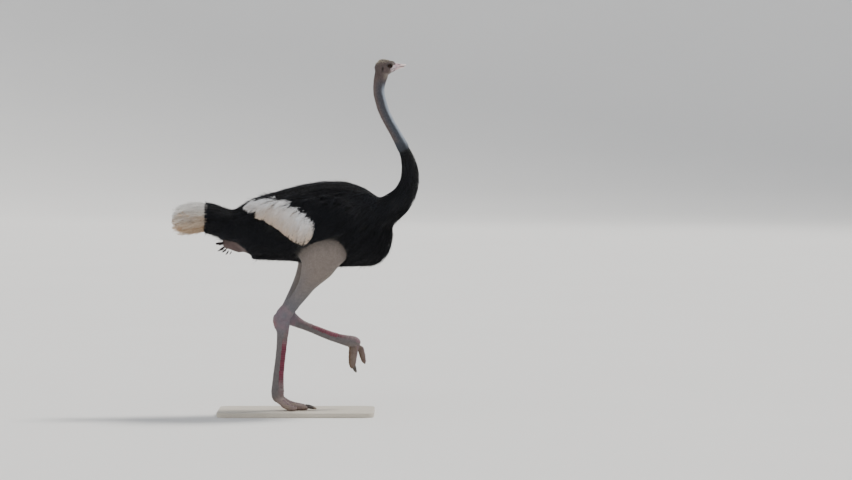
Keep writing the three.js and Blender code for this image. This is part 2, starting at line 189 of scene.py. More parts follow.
EYE = {"x": 603.0, "y": 17.5, "z": 2201.0, "radius": 19.5}
LID = {"half_length": 14.4, "above": 9.5, "below": 10.5, "tilt": math.radians(-5), "rim": 1.5}
GAPE = [(646, 2190.5), (634, 2187), (621, 2181), (608, 2172)]
EAR = {"x": 556.0, "z": 2183.0, "half_width": 5.0, "half_height": 13.0, "depth": 6.0}
BILL_SEAT = (628.0, 642.0)  # where the skin begins to sink under the horn, and where it is all under
HORN_THICKNESS = 2.4


def clay(names):
    """Copies of frame nodes as one bmesh in millimetres."""
    lump = bmesh.new()
    for name in names:
        lump.from_mesh(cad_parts[name].data)
    bmesh.ops.remove_doubles(lump, verts=lump.verts, dist=1e-6)
    bmesh.ops.transform(lump, matrix=TO_FRAME.inverted(), verts=lump.verts)
    return lump


def modified(mesh, kind, group=None, **settings):
    """A mesh with one modifier applied. group is the weight of each vertex in the modifier's vertex group."""
    holder = bpy.data.objects.new("clay", mesh)
    bpy.context.scene.collection.objects.link(holder)
    modifier = holder.modifiers.new("shaper", kind)
    if group is not None:
        members = holder.vertex_groups.new(name="members")
        members.add(np.flatnonzero(group).tolist(), 1.0, "REPLACE")
        modifier.vertex_group = "members"
    for name, value in settings.items():
        setattr(modifier, name, value)
    shaped = bpy.data.meshes.new_from_object(holder.evaluated_get(bpy.context.evaluated_depsgraph_get()))
    bpy.data.objects.remove(holder)
    return shaped


def even_skin(names, step):
    """One closed surface of even faces round some frame nodes."""
    lump = bpy.data.meshes.new("clay")
    form = clay(names)
    form.to_mesh(lump)
    form.free()
    return modified(lump, "REMESH", mode="VOXEL", voxel_size=step)


def points_of(mesh):
    points = np.empty(len(mesh.vertices) * 3)
    mesh.vertices.foreach_get("co", points)
    return points.reshape(-1, 3)


def normals_of(mesh):
    normals = np.empty(len(mesh.vertices) * 3, np.float32)
    mesh.vertex_normals.foreach_get("vector", normals)
    return normals.reshape(-1, 3).astype(float)


def edges_of(mesh):
    edges = np.empty(len(mesh.edges) * 2, np.int32)
    mesh.edges.foreach_get("vertices", edges)
    return edges.reshape(-1, 2)


def relaxed(values, edges, strength, rounds):
    """Values at the vertices, drawn towards the mean of their neighbours."""
    first, second = edges.T
    count = len(values)
    near = np.maximum(np.bincount(first, minlength=count) + np.bincount(second, minlength=count), 1)
    columns = values.reshape(count, -1).astype(float)
    share = np.broadcast_to(strength, count)[:, None]
    for _ in range(rounds):
        mean = [
            (np.bincount(first, column[second], count) + np.bincount(second, column[first], count)) / near
            for column in columns.T
        ]
        columns = columns + share * (np.stack(mean, 1) - columns)
    return columns.reshape(values.shape)


def surface_of(names):
    """A search tree over frame nodes' faces, in millimetres, and the node that each face is on."""
    points, faces, owners = [], [], []
    for name in names:
        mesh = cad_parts[name].data
        start = len(points)
        points += [Vector(p) for p in in_millimetres([v.co for v in mesh.vertices])]
        faces += [[start + i for i in polygon.vertices] for polygon in mesh.polygons]
        owners += [name] * len(mesh.polygons)
    return BVHTree.FromPolygons(points, faces), owners


def coat_form(names, step, rounds):
    """The outer form that a coat follows: frame nodes under one smooth skin. A tree, points and corners."""
    form = even_skin(names, step)
    edges = edges_of(form)
    points = relaxed(points_of(form), edges, 0.5, rounds)
    form.vertices.foreach_set("co", points.ravel())
    form.update()
    form.calc_loop_triangles()
    corners = np.array([t.vertices[:] for t in form.loop_triangles])
    tree = BVHTree.FromPolygons([Vector(p) for p in points], [tuple(t) for t in corners])
    return tree, points, corners


def nearest_on(tree, points):
    found = [tree.find_nearest(Vector(p)) for p in points]
    return np.array([hit[0] for hit in found]), np.array([hit[1] for hit in found])


def nearest_nodes(points):
    tree, owners = surface_of(FLESH)
    return np.array([owners[tree.find_nearest(Vector(p))[2]] for p in points])


def step_between(value, start, end):
    """0 before start, 1 after end, and smooth between them."""
    share = np.clip((value - start) / (end - start), 0, 1)
    return share * share * (3 - 2 * share)


def divide(form, wanted):
    """Cuts in two each edge whose ends are both at a wanted place."""
    marked = {v.index for v in form.verts if wanted(v.co)}
    edges = [e for e in form.edges if e.verts[0].index in marked and e.verts[1].index in marked]
    bmesh.ops.subdivide_edges(form, edges=edges, cuts=1, use_grid_fill=True)
    form.verts.index_update()


def eye_distance(x, z):
    """How far a place on the side of the head is from the eye's middle. It is 1 at the lids' edge."""
    across, up = x - EYE["x"], z - EYE["z"]
    turn = LID["tilt"]
    along = across * np.cos(turn) + up * np.sin(turn)
    over = up * np.cos(turn) - across * np.sin(turn)
    height = np.where(over > 0, LID["above"], LID["below"])
    return np.hypot(along / LID["half_length"], over / height)


def distance_to_line(x, z, line):
    """The distance in the side view to a broken line."""
    nearest = np.full(np.shape(x), 1e9)
    for (ax, az), (bx, bz) in zip(line, line[1:]):
        run, rise = bx - ax, bz - az
        share = np.clip(((x - ax) * run + (z - az) * rise) / (run * run + rise * rise), 0, 1)
        nearest = np.minimum(nearest, np.hypot(x - ax - share * run, z - az - share * rise))
    return nearest


def even_mesh_with_fine_places():
    even = even_skin(FLESH + FILLERS, SKIN_STEP)
    covered = np.isin(nearest_nodes(points_of(even)), list(UNDER_COAT))
    thinned = modified(
        even, "DECIMATE", covered, ratio=KEPT_SHARE, vertex_group_factor=100.0, use_collapse_triangulate=False
    )
    form = bmesh.new()
    form.from_mesh(thinned)
    form.verts.index_update()
    feet = lambda p: p.z < 150 or (p.x > 335 and p.z < 470)
    hocks = lambda p: abs(p.z - 592) < 66 and p.x < 20
    divide(form, lambda p: p.z > 2095 or feet(p) or hocks(p))
    divide(form, lambda p: p.z > 2110)
    near_eye = lambda p: eye_distance(p.x, p.z) < 1.75 and abs(p.y) > 14
    near_gape = lambda p: distance_to_line(p.x, p.z, GAPE) < 4.5 and abs(p.y) > 6
    near_ear = lambda p: abs(p.x - EAR["x"]) < 8 and abs(p.z - EAR["z"]) < 16
    divide(form, lambda p: p.z > 2120 and (near_eye(p) or near_gape(p) or near_ear(p)))
    fine = bpy.data.meshes.new("skin")
    form.to_mesh(fine)
    form.free()
    return fine


SMOOTHING = {"head": 0.8, "neck_upper": 0.1, "neck_middle": 0.1, "neck_lower": 0.2, "vent": 0.1, "trunk": 1.0}
SMOOTHING |= {"tail_base": 0.6, "wing": 1.8, "drumstick": 0.7, "hock": 0.3, "shank": 0.08, "toe": 0.2}

hide = even_mesh_with_fine_places()
hide_edges = edges_of(hide)
hide_points = points_of(hide)
hide_node = nearest_nodes(hide_points)
kind = [node if node in SMOOTHING else node.split("_")[0] for node in hide_node]
softness = relaxed(np.array([SMOOTHING[k] for k in kind]), hide_edges, 0.5, 12)
hide_points = relaxed(hide_points, hide_edges, softness / 2, 80)


def hide_normals():
    hide.vertices.foreach_set("co", hide_points.ravel())
    hide.update()
    return normals_of(hide)


def waves(points, length, stretch=(1, 1, 1), seed=0.0):
    """Soft irregular waves of about a given length, from -1 to 1: a few sines that cross at odd angles."""
    p = points / np.array(stretch) * (2 * np.pi / length)
    total = np.zeros(len(p))
    for k, (a, b, c) in enumerate([(1, 0.31, 0.22), (-0.37, 1, 0.41), (0.29, -0.45, 1), (0.71, 0.66, -0.58)]):
        across = a * p[:, 0] + b * p[:, 1] + c * p[:, 2]
        total += np.sin(across + seed + 1.7 * k + 0.8 * np.sin(0.6 * p[:, k % 3] + k))
    return total / 4


def is_node(*names):
    return np.isin(hide_node, names).astype(float)


# The hide sinks to an even depth below the coat's outer form. At the coat's edge it rises again by degrees.
coat_tree, coat_points, coat_corners = coat_form(COAT_NODES, 12.0, 12)
under_coat = relaxed(is_node(*(UNDER_COAT - {"neck_lower"})), hide_edges, 0.5, 10)
under_neck_coat = relaxed(is_node("neck_lower"), hide_edges, 0.5, 16)
covered = np.clip(under_coat + under_neck_coat, 0, 1)
depth = (under_coat * COAT_DEPTH + under_neck_coat * NECK_COAT_DEPTH) / np.maximum(covered, 1e-6)
saddle = np.exp(-(((hide_points[:, 0] - 440) / 110) ** 2) - ((hide_points[:, 2] - 1390) / 75) ** 2)
depth *= 1 - 0.5 * saddle  # the plumes are short where the neck springs from the back
sinking = covered > 0.001
form_points, form_out = nearest_on(coat_tree, hide_points[sinking])
sunk_points = form_points - form_out * depth[sinking][:, None]
hide_points[sinking] += covered[sinking][:, None] * (sunk_points - hide_points[sinking])
hide_points = relaxed(hide_points, hide_edges, 0.5 * covered, 5)

# The head, in side view: x and z, and how far out to either side.
x, y, z = hide_points.T
out = np.abs(y)
side = np.sign(y)
on_head = step_between(z, 2118, 2140)
seat = step_between(x, *BILL_SEAT) * (z > 2150)
normals = hide_normals()
hide_points -= normals * (seat * HORN_THICKNESS)[:, None]

nape = step_between(-normals[:, 0], 0.3, 0.8) * np.exp(-(((z - 2197) / 17) ** 2))
crown = step_between(z, 2205, 2235) * np.interp(x, [535, 580], [0.3, 1.0])
crown = on_head * np.maximum(crown, nape) * (1 - step_between(x, 605, 630))
hide_points -= normals * (crown * CROWN_COAT_DEPTH)[:, None]
x, y, z = hide_points.T
out = np.abs(y)

e = eye_distance(x, z)
flank_of_head = on_head * step_between(out, 6, 14) * (1 - step_between(x, 626, 642))
eyeball = EYE["y"] + np.sqrt(np.clip(EYE["radius"] ** 2 - (x - EYE["x"]) ** 2 - (z - EYE["z"]) ** 2, 1, None))
rim = EYE["y"] + np.sqrt(EYE["radius"] ** 2 - 13.0**2) + LID["rim"]
# The back corner of the lids stands further out than the front one.
rim += 1.6 * np.clip(-(x - EYE["x"]) / 16, -1, 1)
lids = rim + (out - rim) * step_between(e, 1.1, 2.0)
lids += 0.9 * np.exp(-(((e - 1.13) / 0.07) ** 2)) - 0.9 * np.exp(-(((e - 1.42) / 0.08) ** 2))
socket = np.minimum(eyeball - 2.6, lids)
opening = step_between(e, 0.97, 1.06)
modelled = socket + (lids - socket) * opening
reach = flank_of_head * (1 - step_between(e, 1.8, 2.1))
out = out + reach * (modelled - out)
brow = np.exp(-(distance_to_line(x, z, [(578, 2214), (592, 2222), (610, 2221), (624, 2211)]) / 4.5) ** 2)
cheek = np.exp(-(((x - 588) / 15) ** 2 + ((z - 2166) / 11) ** 2))
jaw_hollow = np.exp(-(((x - 566) / 9) ** 2 + ((z - 2150) / 16) ** 2))
out += flank_of_head * (2.2 * brow + 1.6 * cheek - 1.2 * jaw_hollow)
gape = distance_to_line(x, z, GAPE)
out += flank_of_head * (1.1 * np.exp(-(((gape - 4.0) / 1.8) ** 2)) - 2.4 * np.exp(-((gape / 1.5) ** 2)))
ear = np.hypot((x - EAR["x"]) / EAR["half_width"], (z - EAR["z"]) / EAR["half_height"])
ear_edge = 1.2 * np.exp(-(((ear - 1.35) / 0.25) ** 2))
out += flank_of_head * (ear_edge - EAR["depth"] * (1 - step_between(ear, 0.55, 1.15)))
hide_points[:, 1] = side * np.where(flank_of_head > 0, out, np.abs(y))

# Wrinkles: fine rings of loose skin on the throat and neck, and deep creases across the hocks.
normals = hide_normals()
x, y, z = hide_points.T
on_neck = step_between(z, 1690, 1740) * (1 - step_between(z, 2120, 2150))
throat = step_between(z, 2080, 2120) * step_between(normals[:, 0], 0.1, 0.7) * (x < 625)
fold = 0.5 * on_neck * waves(hide_points, 16, (4, 4, 1))
fold += 1.1 * throat * waves(hide_points, 12, (1.5, 3, 1), 2.0)
fold += 0.35 * on_head * waves(hide_points, 9, (1.5, 1.5, 1), 5.0) * (1 - seat) * step_between(e, 1.5, 2.0)
on_hock = relaxed(is_node("hock_right", "hock_left"), hide_edges, 0.5, 6)
fold += 1.3 * on_hock * np.abs(waves(hide_points, 26, (3, 3, 1), 1.0)) - 0.5 * on_hock
on_thigh = relaxed(is_node("drumstick_right", "drumstick_left"), hide_edges, 0.5, 20)
fold += 2.2 * on_thigh * waves(hide_points, 150, (1, 1, 1.8), 3.0)
toes = [f"toe_{which}_{side_name}" for which in ("inner", "outer") for side_name in SIDES]
on_toes = relaxed(is_node(*toes), hide_edges, 0.5, 3)
fold += on_toes * (1.1 * waves(hide_points, 22, (1, 2, 1), 4.0) + 0.5 * waves(hide_points, 8, (1, 1, 1), 6.0))
sole = on_toes * (z < 12)
hide_points += normals * (fold * (1 - sole))[:, None]

# The soles stay on the board: no point of the hide goes below its top.
hide_points[:, 2] = np.maximum(hide_points[:, 2], 0.3)

# What the hide is coloured: each stretch has its own colour, and they run into each other.
HIDE_COLOURS = {
    "head": (92, 79, 77), "neck_upper": (70, 71, 79), "neck_middle": (63, 68, 78), "neck_lower": (14, 14, 16),
    "trunk": (9, 9, 10), "tail_base": (9, 9, 10), "wing": (9, 9, 10), "vent": (90, 74, 72),
    "drumstick": (124, 114, 108), "hock": (104, 101, 109), "shank": (98, 93, 94), "toe": (138, 124, 114),
}
BILL_BASE_PINK = (228, 210, 216)
LID_DARK = (38, 34, 34)
LIP_GREY = (120, 108, 106)
EAR_AND_EYE_SHADE = (52, 44, 44)
THROAT_PALE = (150, 141, 132)
NAPE_MAUVE = (106, 90, 86)
NECK_FRONT_PALE_AND_HIGHLIGHT = (178, 188, 202)
HOCK_MAUVE = (132, 104, 114)
HEEL_RED = (130, 86, 88)
SHANK_ROSE = (128, 92, 100)
SOLE_BROWN_AND_SHADE = (104, 78, 56)
TOE_MAUVE = (126, 108, 116)
THIGH_BLUE = (94, 97, 107)

# Outlines in side view: where the trunk is bare at the vent and over the thighs, and where its coat is white.
VENT_BARE = [(-460, 1090), (-412, 1084), (-371, 1070), (-318, 1030), (-286, 984), (-300, 930), (-520, 960)]
THIGH_BARE = [
    (26, 1043), (83, 1066), (154, 1086), (205, 1107), (243, 1116), (266, 1088), (298, 1050), (335, 1024),
    (327, 992), (301, 944), (269, 902), (237, 864), (80, 700), (-80, 560), (-190, 600), (-70, 700),
    (-6, 787), (26, 845), (36, 928),
]
WHITE_PATCH = [
    (-339, 1280), (-320, 1325), (-282, 1344), (-218, 1346), (-150, 1366), (-96, 1389), (-62, 1360),
    (-32, 1318), (28, 1286), (77, 1248), (108, 1206), (118, 1150), (102, 1107), (77, 1075), (45, 1056),
    (0, 1074), (-48, 1110), (-112, 1164), (-190, 1210), (-290, 1248),
]
# The closed wing's edge from above: x, and how far out.
WING_EDGE = [(-340, 150), (-260, 176), (-180, 198), (-100, 217), (-20, 227), (60, 232), (120, 234)]
WHITE_TOP = (250, 251, 254)
WHITE_DUST_AND_SHADE = (216, 194, 172)


def inside(points, outline):
    """Whether each place is inside an outline in side view."""
    x, z = points[..., 0], points[..., 2]
    within = np.zeros(x.shape, bool)
    for (ax, az), (bx, bz) in zip(outline, outline[1:] + outline[:1]):
        crosses = (az > z) != (bz > z)
        within ^= crosses & (x < (bx - ax) * (z - az) / (bz - az + 1e-9) + ax)
    return within


def over_white(points, margin=0.0, deeper=0.0):
    """Whether a place is over a wing's white plumes, by more than a margin inside their outline."""
    on_wing = np.abs(points[..., 1]) > np.interp(points[..., 0], *np.transpose(WING_EDGE)) + deeper
    middle = np.array([-90, 0, 1240])
    return on_wing & inside(middle + (points - middle) / max(1 - margin, 0.05), WHITE_PATCH)


def painted(base, share, tone):
    """Colours with a tone laid over them, as thick as its share."""
    return base + share[:, None] * (np.array(colour(*tone)[:3]) - base)


tone_of = {name: colour(*value)[:3] for name, value in HIDE_COLOURS.items()}
kind = [node if node in tone_of else node.split("_")[0] for node in hide_node]
paint = relaxed(np.array([tone_of[k] for k in kind]), hide_edges, 0.6, 150)
sunk = np.maximum(under_coat, under_neck_coat)
paint = painted(paint, step_between(sunk, 0.3, 0.7), HIDE_COLOURS["trunk"])
bare_vent = relaxed(inside(hide_points, VENT_BARE).astype(float), hide_edges, 0.5, 2)
paint = painted(paint, bare_vent, HIDE_COLOURS["vent"])
under_white = relaxed(over_white(hide_points, 0, -COAT_DEPTH).astype(float), hide_edges, 0.5, 10)
well_under = (np.abs(hide_points[:, 1]) > 60) * step_between(under_white, 0.75, 0.95)
paint = painted(paint, well_under, WHITE_DUST_AND_SHADE)
paint = painted(paint, step_between(-hide_points[:, 0], 584, 592), WHITE_DUST_AND_SHADE)
normals = hide_normals()
x, y, z = hide_points.T
behind = step_between(-normals[:, 0], -0.1, 0.8)
before = step_between(normals[:, 0], 0.28, 0.74)
paint = painted(paint, 0.75 * on_neck * behind * (1 - sunk), NAPE_MAUVE)
# Painted highlight down the front of the neck, over its own paler skin there.
neck_front_highlight = 0.75 * step_between(z, 1660, 1760) * (1 - step_between(z, 2040, 2110)) * before
paint = painted(paint, neck_front_highlight, NECK_FRONT_PALE_AND_HIGHLIGHT)
paint = painted(paint, 0.8 * throat * step_between(z, 2095, 2150), THROAT_PALE)
face = distance_to_line(x, z, [(646, 2198), (628, 2192), (612, 2178)])
paint = painted(paint, on_head * (1 - step_between(face, 9, 17)) * step_between(x, 600, 618), BILL_BASE_PINK)
paint = painted(paint, on_head * np.exp(-((gape / 1.8) ** 2)), LIP_GREY)
paint = painted(paint, flank_of_head * (1 - step_between(e, 1.1, 1.36)), LID_DARK)
# Painted shade round the eye, behind it and under the brow.
paint = painted(paint, 0.45 * flank_of_head * (1 - step_between(e, 1.3, 2.2)) * (x < 618), EAR_AND_EYE_SHADE)
# Painted shade in the ear opening.
paint = painted(paint, flank_of_head * (1 - step_between(ear, 0.6, 1.3)), EAR_AND_EYE_SHADE)
thigh_shade = np.maximum(0.6 * step_between(1000 - z, 0, 330) * behind, 0.7 * step_between(880 - z, 0, 240))
paint = painted(paint, on_thigh * thigh_shade, THIGH_BLUE)
blotch = 0.5 + 0.5 * waves(hide_points, 60, seed=8.0)
paint = painted(paint, 0.6 * on_hock * blotch, HOCK_MAUVE)
heel = np.exp(-(((x + 140) / 22) ** 2 + ((z - 560) / 26) ** 2)) * (y < 0)
paint = painted(paint, 0.7 * heel, HEEL_RED)
on_shank = relaxed(is_node("shank_right", "shank_left"), hide_edges, 0.5, 8)
shank_front = step_between(normals[:, 0] + normals[:, 2] * (y > 0), 0.1, 0.8)
paint = painted(paint, 0.5 * on_shank * shank_front, SHANK_ROSE)
lifted_sole = on_toes * (y > 0) * step_between(-normals[:, 0], 0.1, 0.7)
standing_sole = on_toes * (y < 0) * step_between(-normals[:, 2], 0.2, 0.8)
paint = painted(paint, 0.85 * np.maximum(lifted_sole, standing_sole), SOLE_BROWN_AND_SHADE)
paint = painted(paint, 0.5 * on_toes * blotch * (1 - lifted_sole), TOE_MAUVE)
# Painted shade on the toes of the lifted far foot: browner and darker all over.
paint = painted(paint, 0.45 * on_toes * (y > 0) * (0.4 + 0.6 * blotch), SOLE_BROWN_AND_SHADE)
paint = paint * (1 - 0.3 * on_toes * (y > 0))[:, None]
scaly = np.clip(on_shank + on_toes + 0.6 * on_hock, 0, 1)

GRAIN_MIDDLE = (0.3, 0.7)  # where most of a noise pattern's values lie


def tint_mesh(mesh, tones, cover=1.0):
    """Stores a colour for each vertex in the attribute that materials read as tint."""
    rgba = np.ones((len(tones), 4), np.float32)
    rgba[:, :3] = tones[:, :3]
    rgba[:, 3] = cover
    mesh.color_attributes.new("tint", "FLOAT_COLOR", "POINT").data.foreach_set("color", rgba.ravel())


def hide_leather():
    """Dry bird skin: mottled, a pimple at each lost feather, and small horny scales on shanks and toes."""
    material = finish("hide_leather", Specular_IOR_Level=0.28)
    place = wire(material, "TexCoord", {}).outputs["Object"]
    tint = wire(material, "Attribute", {}, attribute_name="tint")
    mottling = {"Vector": place, "Scale": 55.0, "Detail": 6.0, "Roughness": 0.65}
    mottle = wire(material, "TexNoise", mottling).outputs[0]
    shade = ranged(material, mottle, (0.86, 1.12), GRAIN_MIDDLE)
    tone = blend_colours(material, 1.0, tint.outputs["Color"], shade, "MULTIPLY")
    lattice = {"Vector": place, "Scale": 150.0, "Randomness": 0.8}
    scales = wire(material, "TexVoronoi", lattice, feature="DISTANCE_TO_EDGE")
    seams = ranged(material, scales.outputs[0], (0.0, 1.0), (0.0, 0.12))
    follicles = {"Vector": place, "Scale": 120.0, "Randomness": 0.55}
    pimples = wire(material, "TexVoronoi", follicles, feature="SMOOTH_F1")
    dots = ranged(material, pimples.outputs[0], (1.0, 0.0), (0.05, 0.4))
    relief = wire(material, "Mix", {0: tint.outputs["Alpha"], 2: dots, 3: seams}).outputs[0]
    seam_shade = ranged(material, relief, (0.8, 1.04))
    connect(material, blend_colours(material, 1.0, tone, seam_shade, "MULTIPLY"), "Base Color")
    connect(material, ranged(material, mottle, (0.75, 0.5)), "Roughness")
    coarse = wire(material, "Bump", {"Height": relief, "Strength": 0.5, "Distance": 0.0009})
    grain = {"Height": mottle, "Strength": 0.35, "Distance": 0.0012, "Normal": coarse.outputs[0]}
    connect(material, wire(material, "Bump", grain).outputs[0], "Normal")
    return material


hide.vertices.foreach_set("co", in_frame(hide_points).ravel())
hide.update()
hide.shade_smooth()
tint_mesh(hide, paint, scaly)
skin = put("skin", hide, hide_leather())
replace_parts(skin, *FLESH)

# ---------------------------------------------------------------- eyes
# Two large brown eyeballs, wet and glossy. Each is one closed ball with the bulge of its cornea, set in its
# socket behind the lids.

CORNEA = {"rise": 1.3, "radius": 11.0}
PUPIL_ANGLE = 17.0
IRIS_ANGLE = 36.0
EYE_BROWN = (62, 36, 20)
EYE_BLACK = (6, 5, 5)
EYE_RIM = (20, 16, 15)


def eye_gloss():
    """Wet and clear: a black pupil in a dark brown iris, by the angle from the eye's own axis."""
    material = finish("eye_gloss", Roughness=0.06, IOR=1.38, Specular_IOR_Level=0.22)
    angle = wire(material, "Attribute", {}, attribute_name="angle").outputs["Fac"]
    place = wire(material, "TexCoord", {}).outputs["Object"]
    rays = wire(material, "TexNoise", {"Vector": place, "Scale": 700.0, "Detail": 3.0})
    inner = ranged(material, angle, (0.0, 1.0), (PUPIL_ANGLE - 1, PUPIL_ANGLE + 1))
    outer = ranged(material, angle, (0.0, 1.0), (IRIS_ANGLE, IRIS_ANGLE + 6))
    iris = blend_colours(material, rays.outputs[0], colour(*EYE_BROWN), colour(*EYE_BLACK))
    middle = blend_colours(material, inner, colour(*EYE_BLACK), iris)
    connect(material, blend_colours(material, outer, middle, colour(*EYE_RIM)), "Base Color")
    return material


eye_finish = eye_gloss()
for side_name, way in SIDES.items():
    ball = bmesh.new()
    bmesh.ops.create_uvsphere(ball, u_segments=56, v_segments=36, radius=EYE["radius"])
    angles = []
    for vert in ball.verts:
        angles.append(math.degrees(vert.co.angle(Vector((0, 0, 1)))))
        swell = 1 - min(math.hypot(vert.co.x, vert.co.y) / CORNEA["radius"], 1) ** 2 if vert.co.z > 0 else 0
        vert.co.z += CORNEA["rise"] * swell
    outward = Vector((0, 0, 1)).rotation_difference(Vector((0.12, way, 0.02))).to_matrix()
    bmesh.ops.rotate(ball, matrix=outward, verts=ball.verts)
    bmesh.ops.translate(ball, vec=(EYE["x"], EYE["y"] * way, EYE["z"]), verts=ball.verts)
    eye_mesh = mesh_of(ball)
    eye_mesh.attributes.new("angle", "FLOAT", "POINT").data.foreach_set("value", angles)
    eye = put(f"eyeball_{side_name}", eye_mesh, eye_finish)
    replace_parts(eye, f"eye_{side_name}")

# ---------------------------------------------------------------- bill
# Two horny sheaths over the jaws: a broad flat upper one with a ridge, a long groove for each nostril and a
# rounded nail, and the trough of the lower one. Each is a tube of rings drawn out along its stations and
# closed at its ends.

# A station is [x, y, z, over, under, side]: a ring's centre, and how far it reaches up, down and to the side.
UPPER_BILL = [
    (626, 0, 2199, 12, 8, 19), (636, 0, 2200, 15.6, 9.2, 20.6), (650, 0, 2200.6, 14.8, 8.2, 20.6),
    (664, 0, 2201.4, 12.8, 6.8, 19), (678, 0, 2202.6, 10.6, 5.6, 16.6), (690, 0, 2203.6, 8.8, 4.6, 13),
    (699, 0, 2203.6, 7.2, 4.4, 8.6), (703.6, 0, 2203.2, 4.2, 4.2, 4.6), (705, 0, 2203, 1, 1, 1),
]
LOWER_BILL = [
    (618, 0, 2180, 4, 9, 16), (632, 0, 2184.4, 5, 12.6, 18.6), (650, 0, 2188.4, 4.4, 10.2, 17.8),
    (668, 0, 2192, 3.4, 7, 15.4), (682, 0, 2194.6, 2.6, 5, 12), (691, 0, 2196, 1.9, 3.4, 8),
    (695.4, 0, 2196.6, 0.8, 1, 2),
]
NOSTRIL = {"x": 658, "out": 14.0, "length": 8.0, "width": 2.6}
BILL_PALE = (228, 206, 203)
BILL_MAUVE = (196, 160, 172)
BILL_PARTING_SHADE = (150, 132, 124)
NOSTRIL_SHADE = (62, 42, 46)
NOSTRIL_MAUVE = (150, 108, 126)


def along_stations(stations, share):
    """The stations' values at each share of the way, on a smooth curve through them."""
    rows = np.array(stations, float)
    rows = np.vstack([2 * rows[0] - rows[1], rows, 2 * rows[-1] - rows[-2]])
    place = np.clip(share, 0, 1) * (len(rows) - 3)
    start = np.minimum(place.astype(int), len(rows) - 4)
    t = (place - start)[..., None]
    a, b, c, d = (rows[start + k] for k in range(4))
    return 0.5 * (2 * b + (c - a) * t + (2 * a - 5 * b + 4 * c - d) * t**2 + (3 * b - a - 3 * c + d) * t**3)


def horn(stations, around, rings, square=1.0, shaped=None):
    """A closed tube of rings. On a line that runs forward, over is up. On one that runs down, over is
    forward."""
    form = bmesh.new()
    bmesh.ops.create_grid(form, x_segments=around, y_segments=rings, size=0.5)
    grid = np.array([v.co for v in form.verts])
    turn = (grid[:, 0] + 0.5) * 2 * np.pi
    share = grid[:, 1] + 0.5
    rows = along_stations(stations, share)
    ahead = along_stations(stations, share + 1e-3)[:, :3] - along_stations(stations, share - 1e-3)[:, :3]
    ahead /= np.linalg.norm(ahead, axis=1, keepdims=True)
    left = np.array([0, 1.0, 0]) - ahead * ahead[:, 1:2]
    left /= np.linalg.norm(left, axis=1, keepdims=True)
    up = np.cross(ahead, left)
    wide, tall = np.cos(turn), np.sin(turn)
    rise = np.sign(tall) * np.abs(tall) ** square * np.where(tall > 0, rows[:, 3], rows[:, 4])
    width = np.sign(wide) * np.abs(wide) ** square * rows[:, 5]
    if shaped:
        width, rise = shaped(share, width, rise, rows)
    ends = (share > 1e-6) & (share < 1 - 1e-6)
    points = rows[:, :3] + left * (width * ends)[:, None] + up * (rise * ends)[:, None]
    for vert, point in zip(form.verts, points):
        vert.co = point
    bmesh.ops.remove_doubles(form, verts=form.verts, dist=1e-4)
    bmesh.ops.recalc_face_normals(form, faces=form.faces)
    return form


def upper_sheath(share, width, rise, rows):
    over = rise > 0
    edge = np.abs(width) / np.maximum(rows[:, 5], 1)
    ridge = 1.5 * np.exp(-((width / 3.5) ** 2)) * (1 - step_between(share, 0.55, 0.8))
    beside = np.exp(-(((np.abs(width) - NOSTRIL["out"]) / 2.6) ** 2))
    groove = 1.5 * beside * np.sin(np.pi * np.clip(share / 0.72, 0, 1))
    along = (rows[:, 0] - NOSTRIL["x"]) / NOSTRIL["length"]
    slot = np.exp(-(along**4) - ((np.abs(width) - NOSTRIL["out"]) / NOSTRIL["width"]) ** 4)
    nail = 1.2 * step_between(share, 0.72, 0.8) * (1 - step_between(share, 0.86, 1.0))
    lip = 0.8 * edge**6
    rise = rise + over * (ridge - groove - 2.6 * slot + nail - lip) + (1 - over) * (2.2 * (1 - edge**2) - 0.4)
    return width, rise


def lower_sheath(share, width, rise, rows):
    edge = np.abs(width) / np.maximum(rows[:, 5], 1)
    hollow = 2.4 * (1 - edge**3) * np.sin(np.pi * np.clip(share, 0, 1)) ** 0.5
    seam = 0.9 * np.exp(-(((np.abs(width) - 6.5) / 1.6) ** 2)) * (1 - step_between(share, 0.7, 0.9))
    return width, rise - (rise > 0) * hollow + (rise < 0) * seam


def grained(name, scale, detail, tones, roughness, relief=None, stretch=None, distortion=0.0, **constants):
    """A material in the piece's own tint, with a grain that makes it lighter or darker, smoother or rougher.
    relief is how strong and how deep the grain stands out."""
    material = finish(name, **constants)
    place = wire(material, "TexCoord", {}).outputs["Object"]
    if stretch:
        place = wire(material, "Mapping", {"Vector": place, "Scale": stretch}).outputs[0]
    values = {"Vector": place, "Scale": scale, "Detail": detail, "Distortion": distortion}
    grain = wire(material, "TexNoise", values).outputs[0]
    tint = wire(material, "Attribute", {}, attribute_name="tint").outputs["Color"]
    shade = ranged(material, grain, tones, GRAIN_MIDDLE)
    connect(material, blend_colours(material, 1.0, tint, shade, "MULTIPLY"), "Base Color")
    connect(material, ranged(material, grain, roughness), "Roughness")
    if relief:
        bump = wire(material, "Bump", {"Height": grain, "Strength": relief[0], "Distance": relief[1]})
        connect(material, bump.outputs[0], "Normal")
    return material


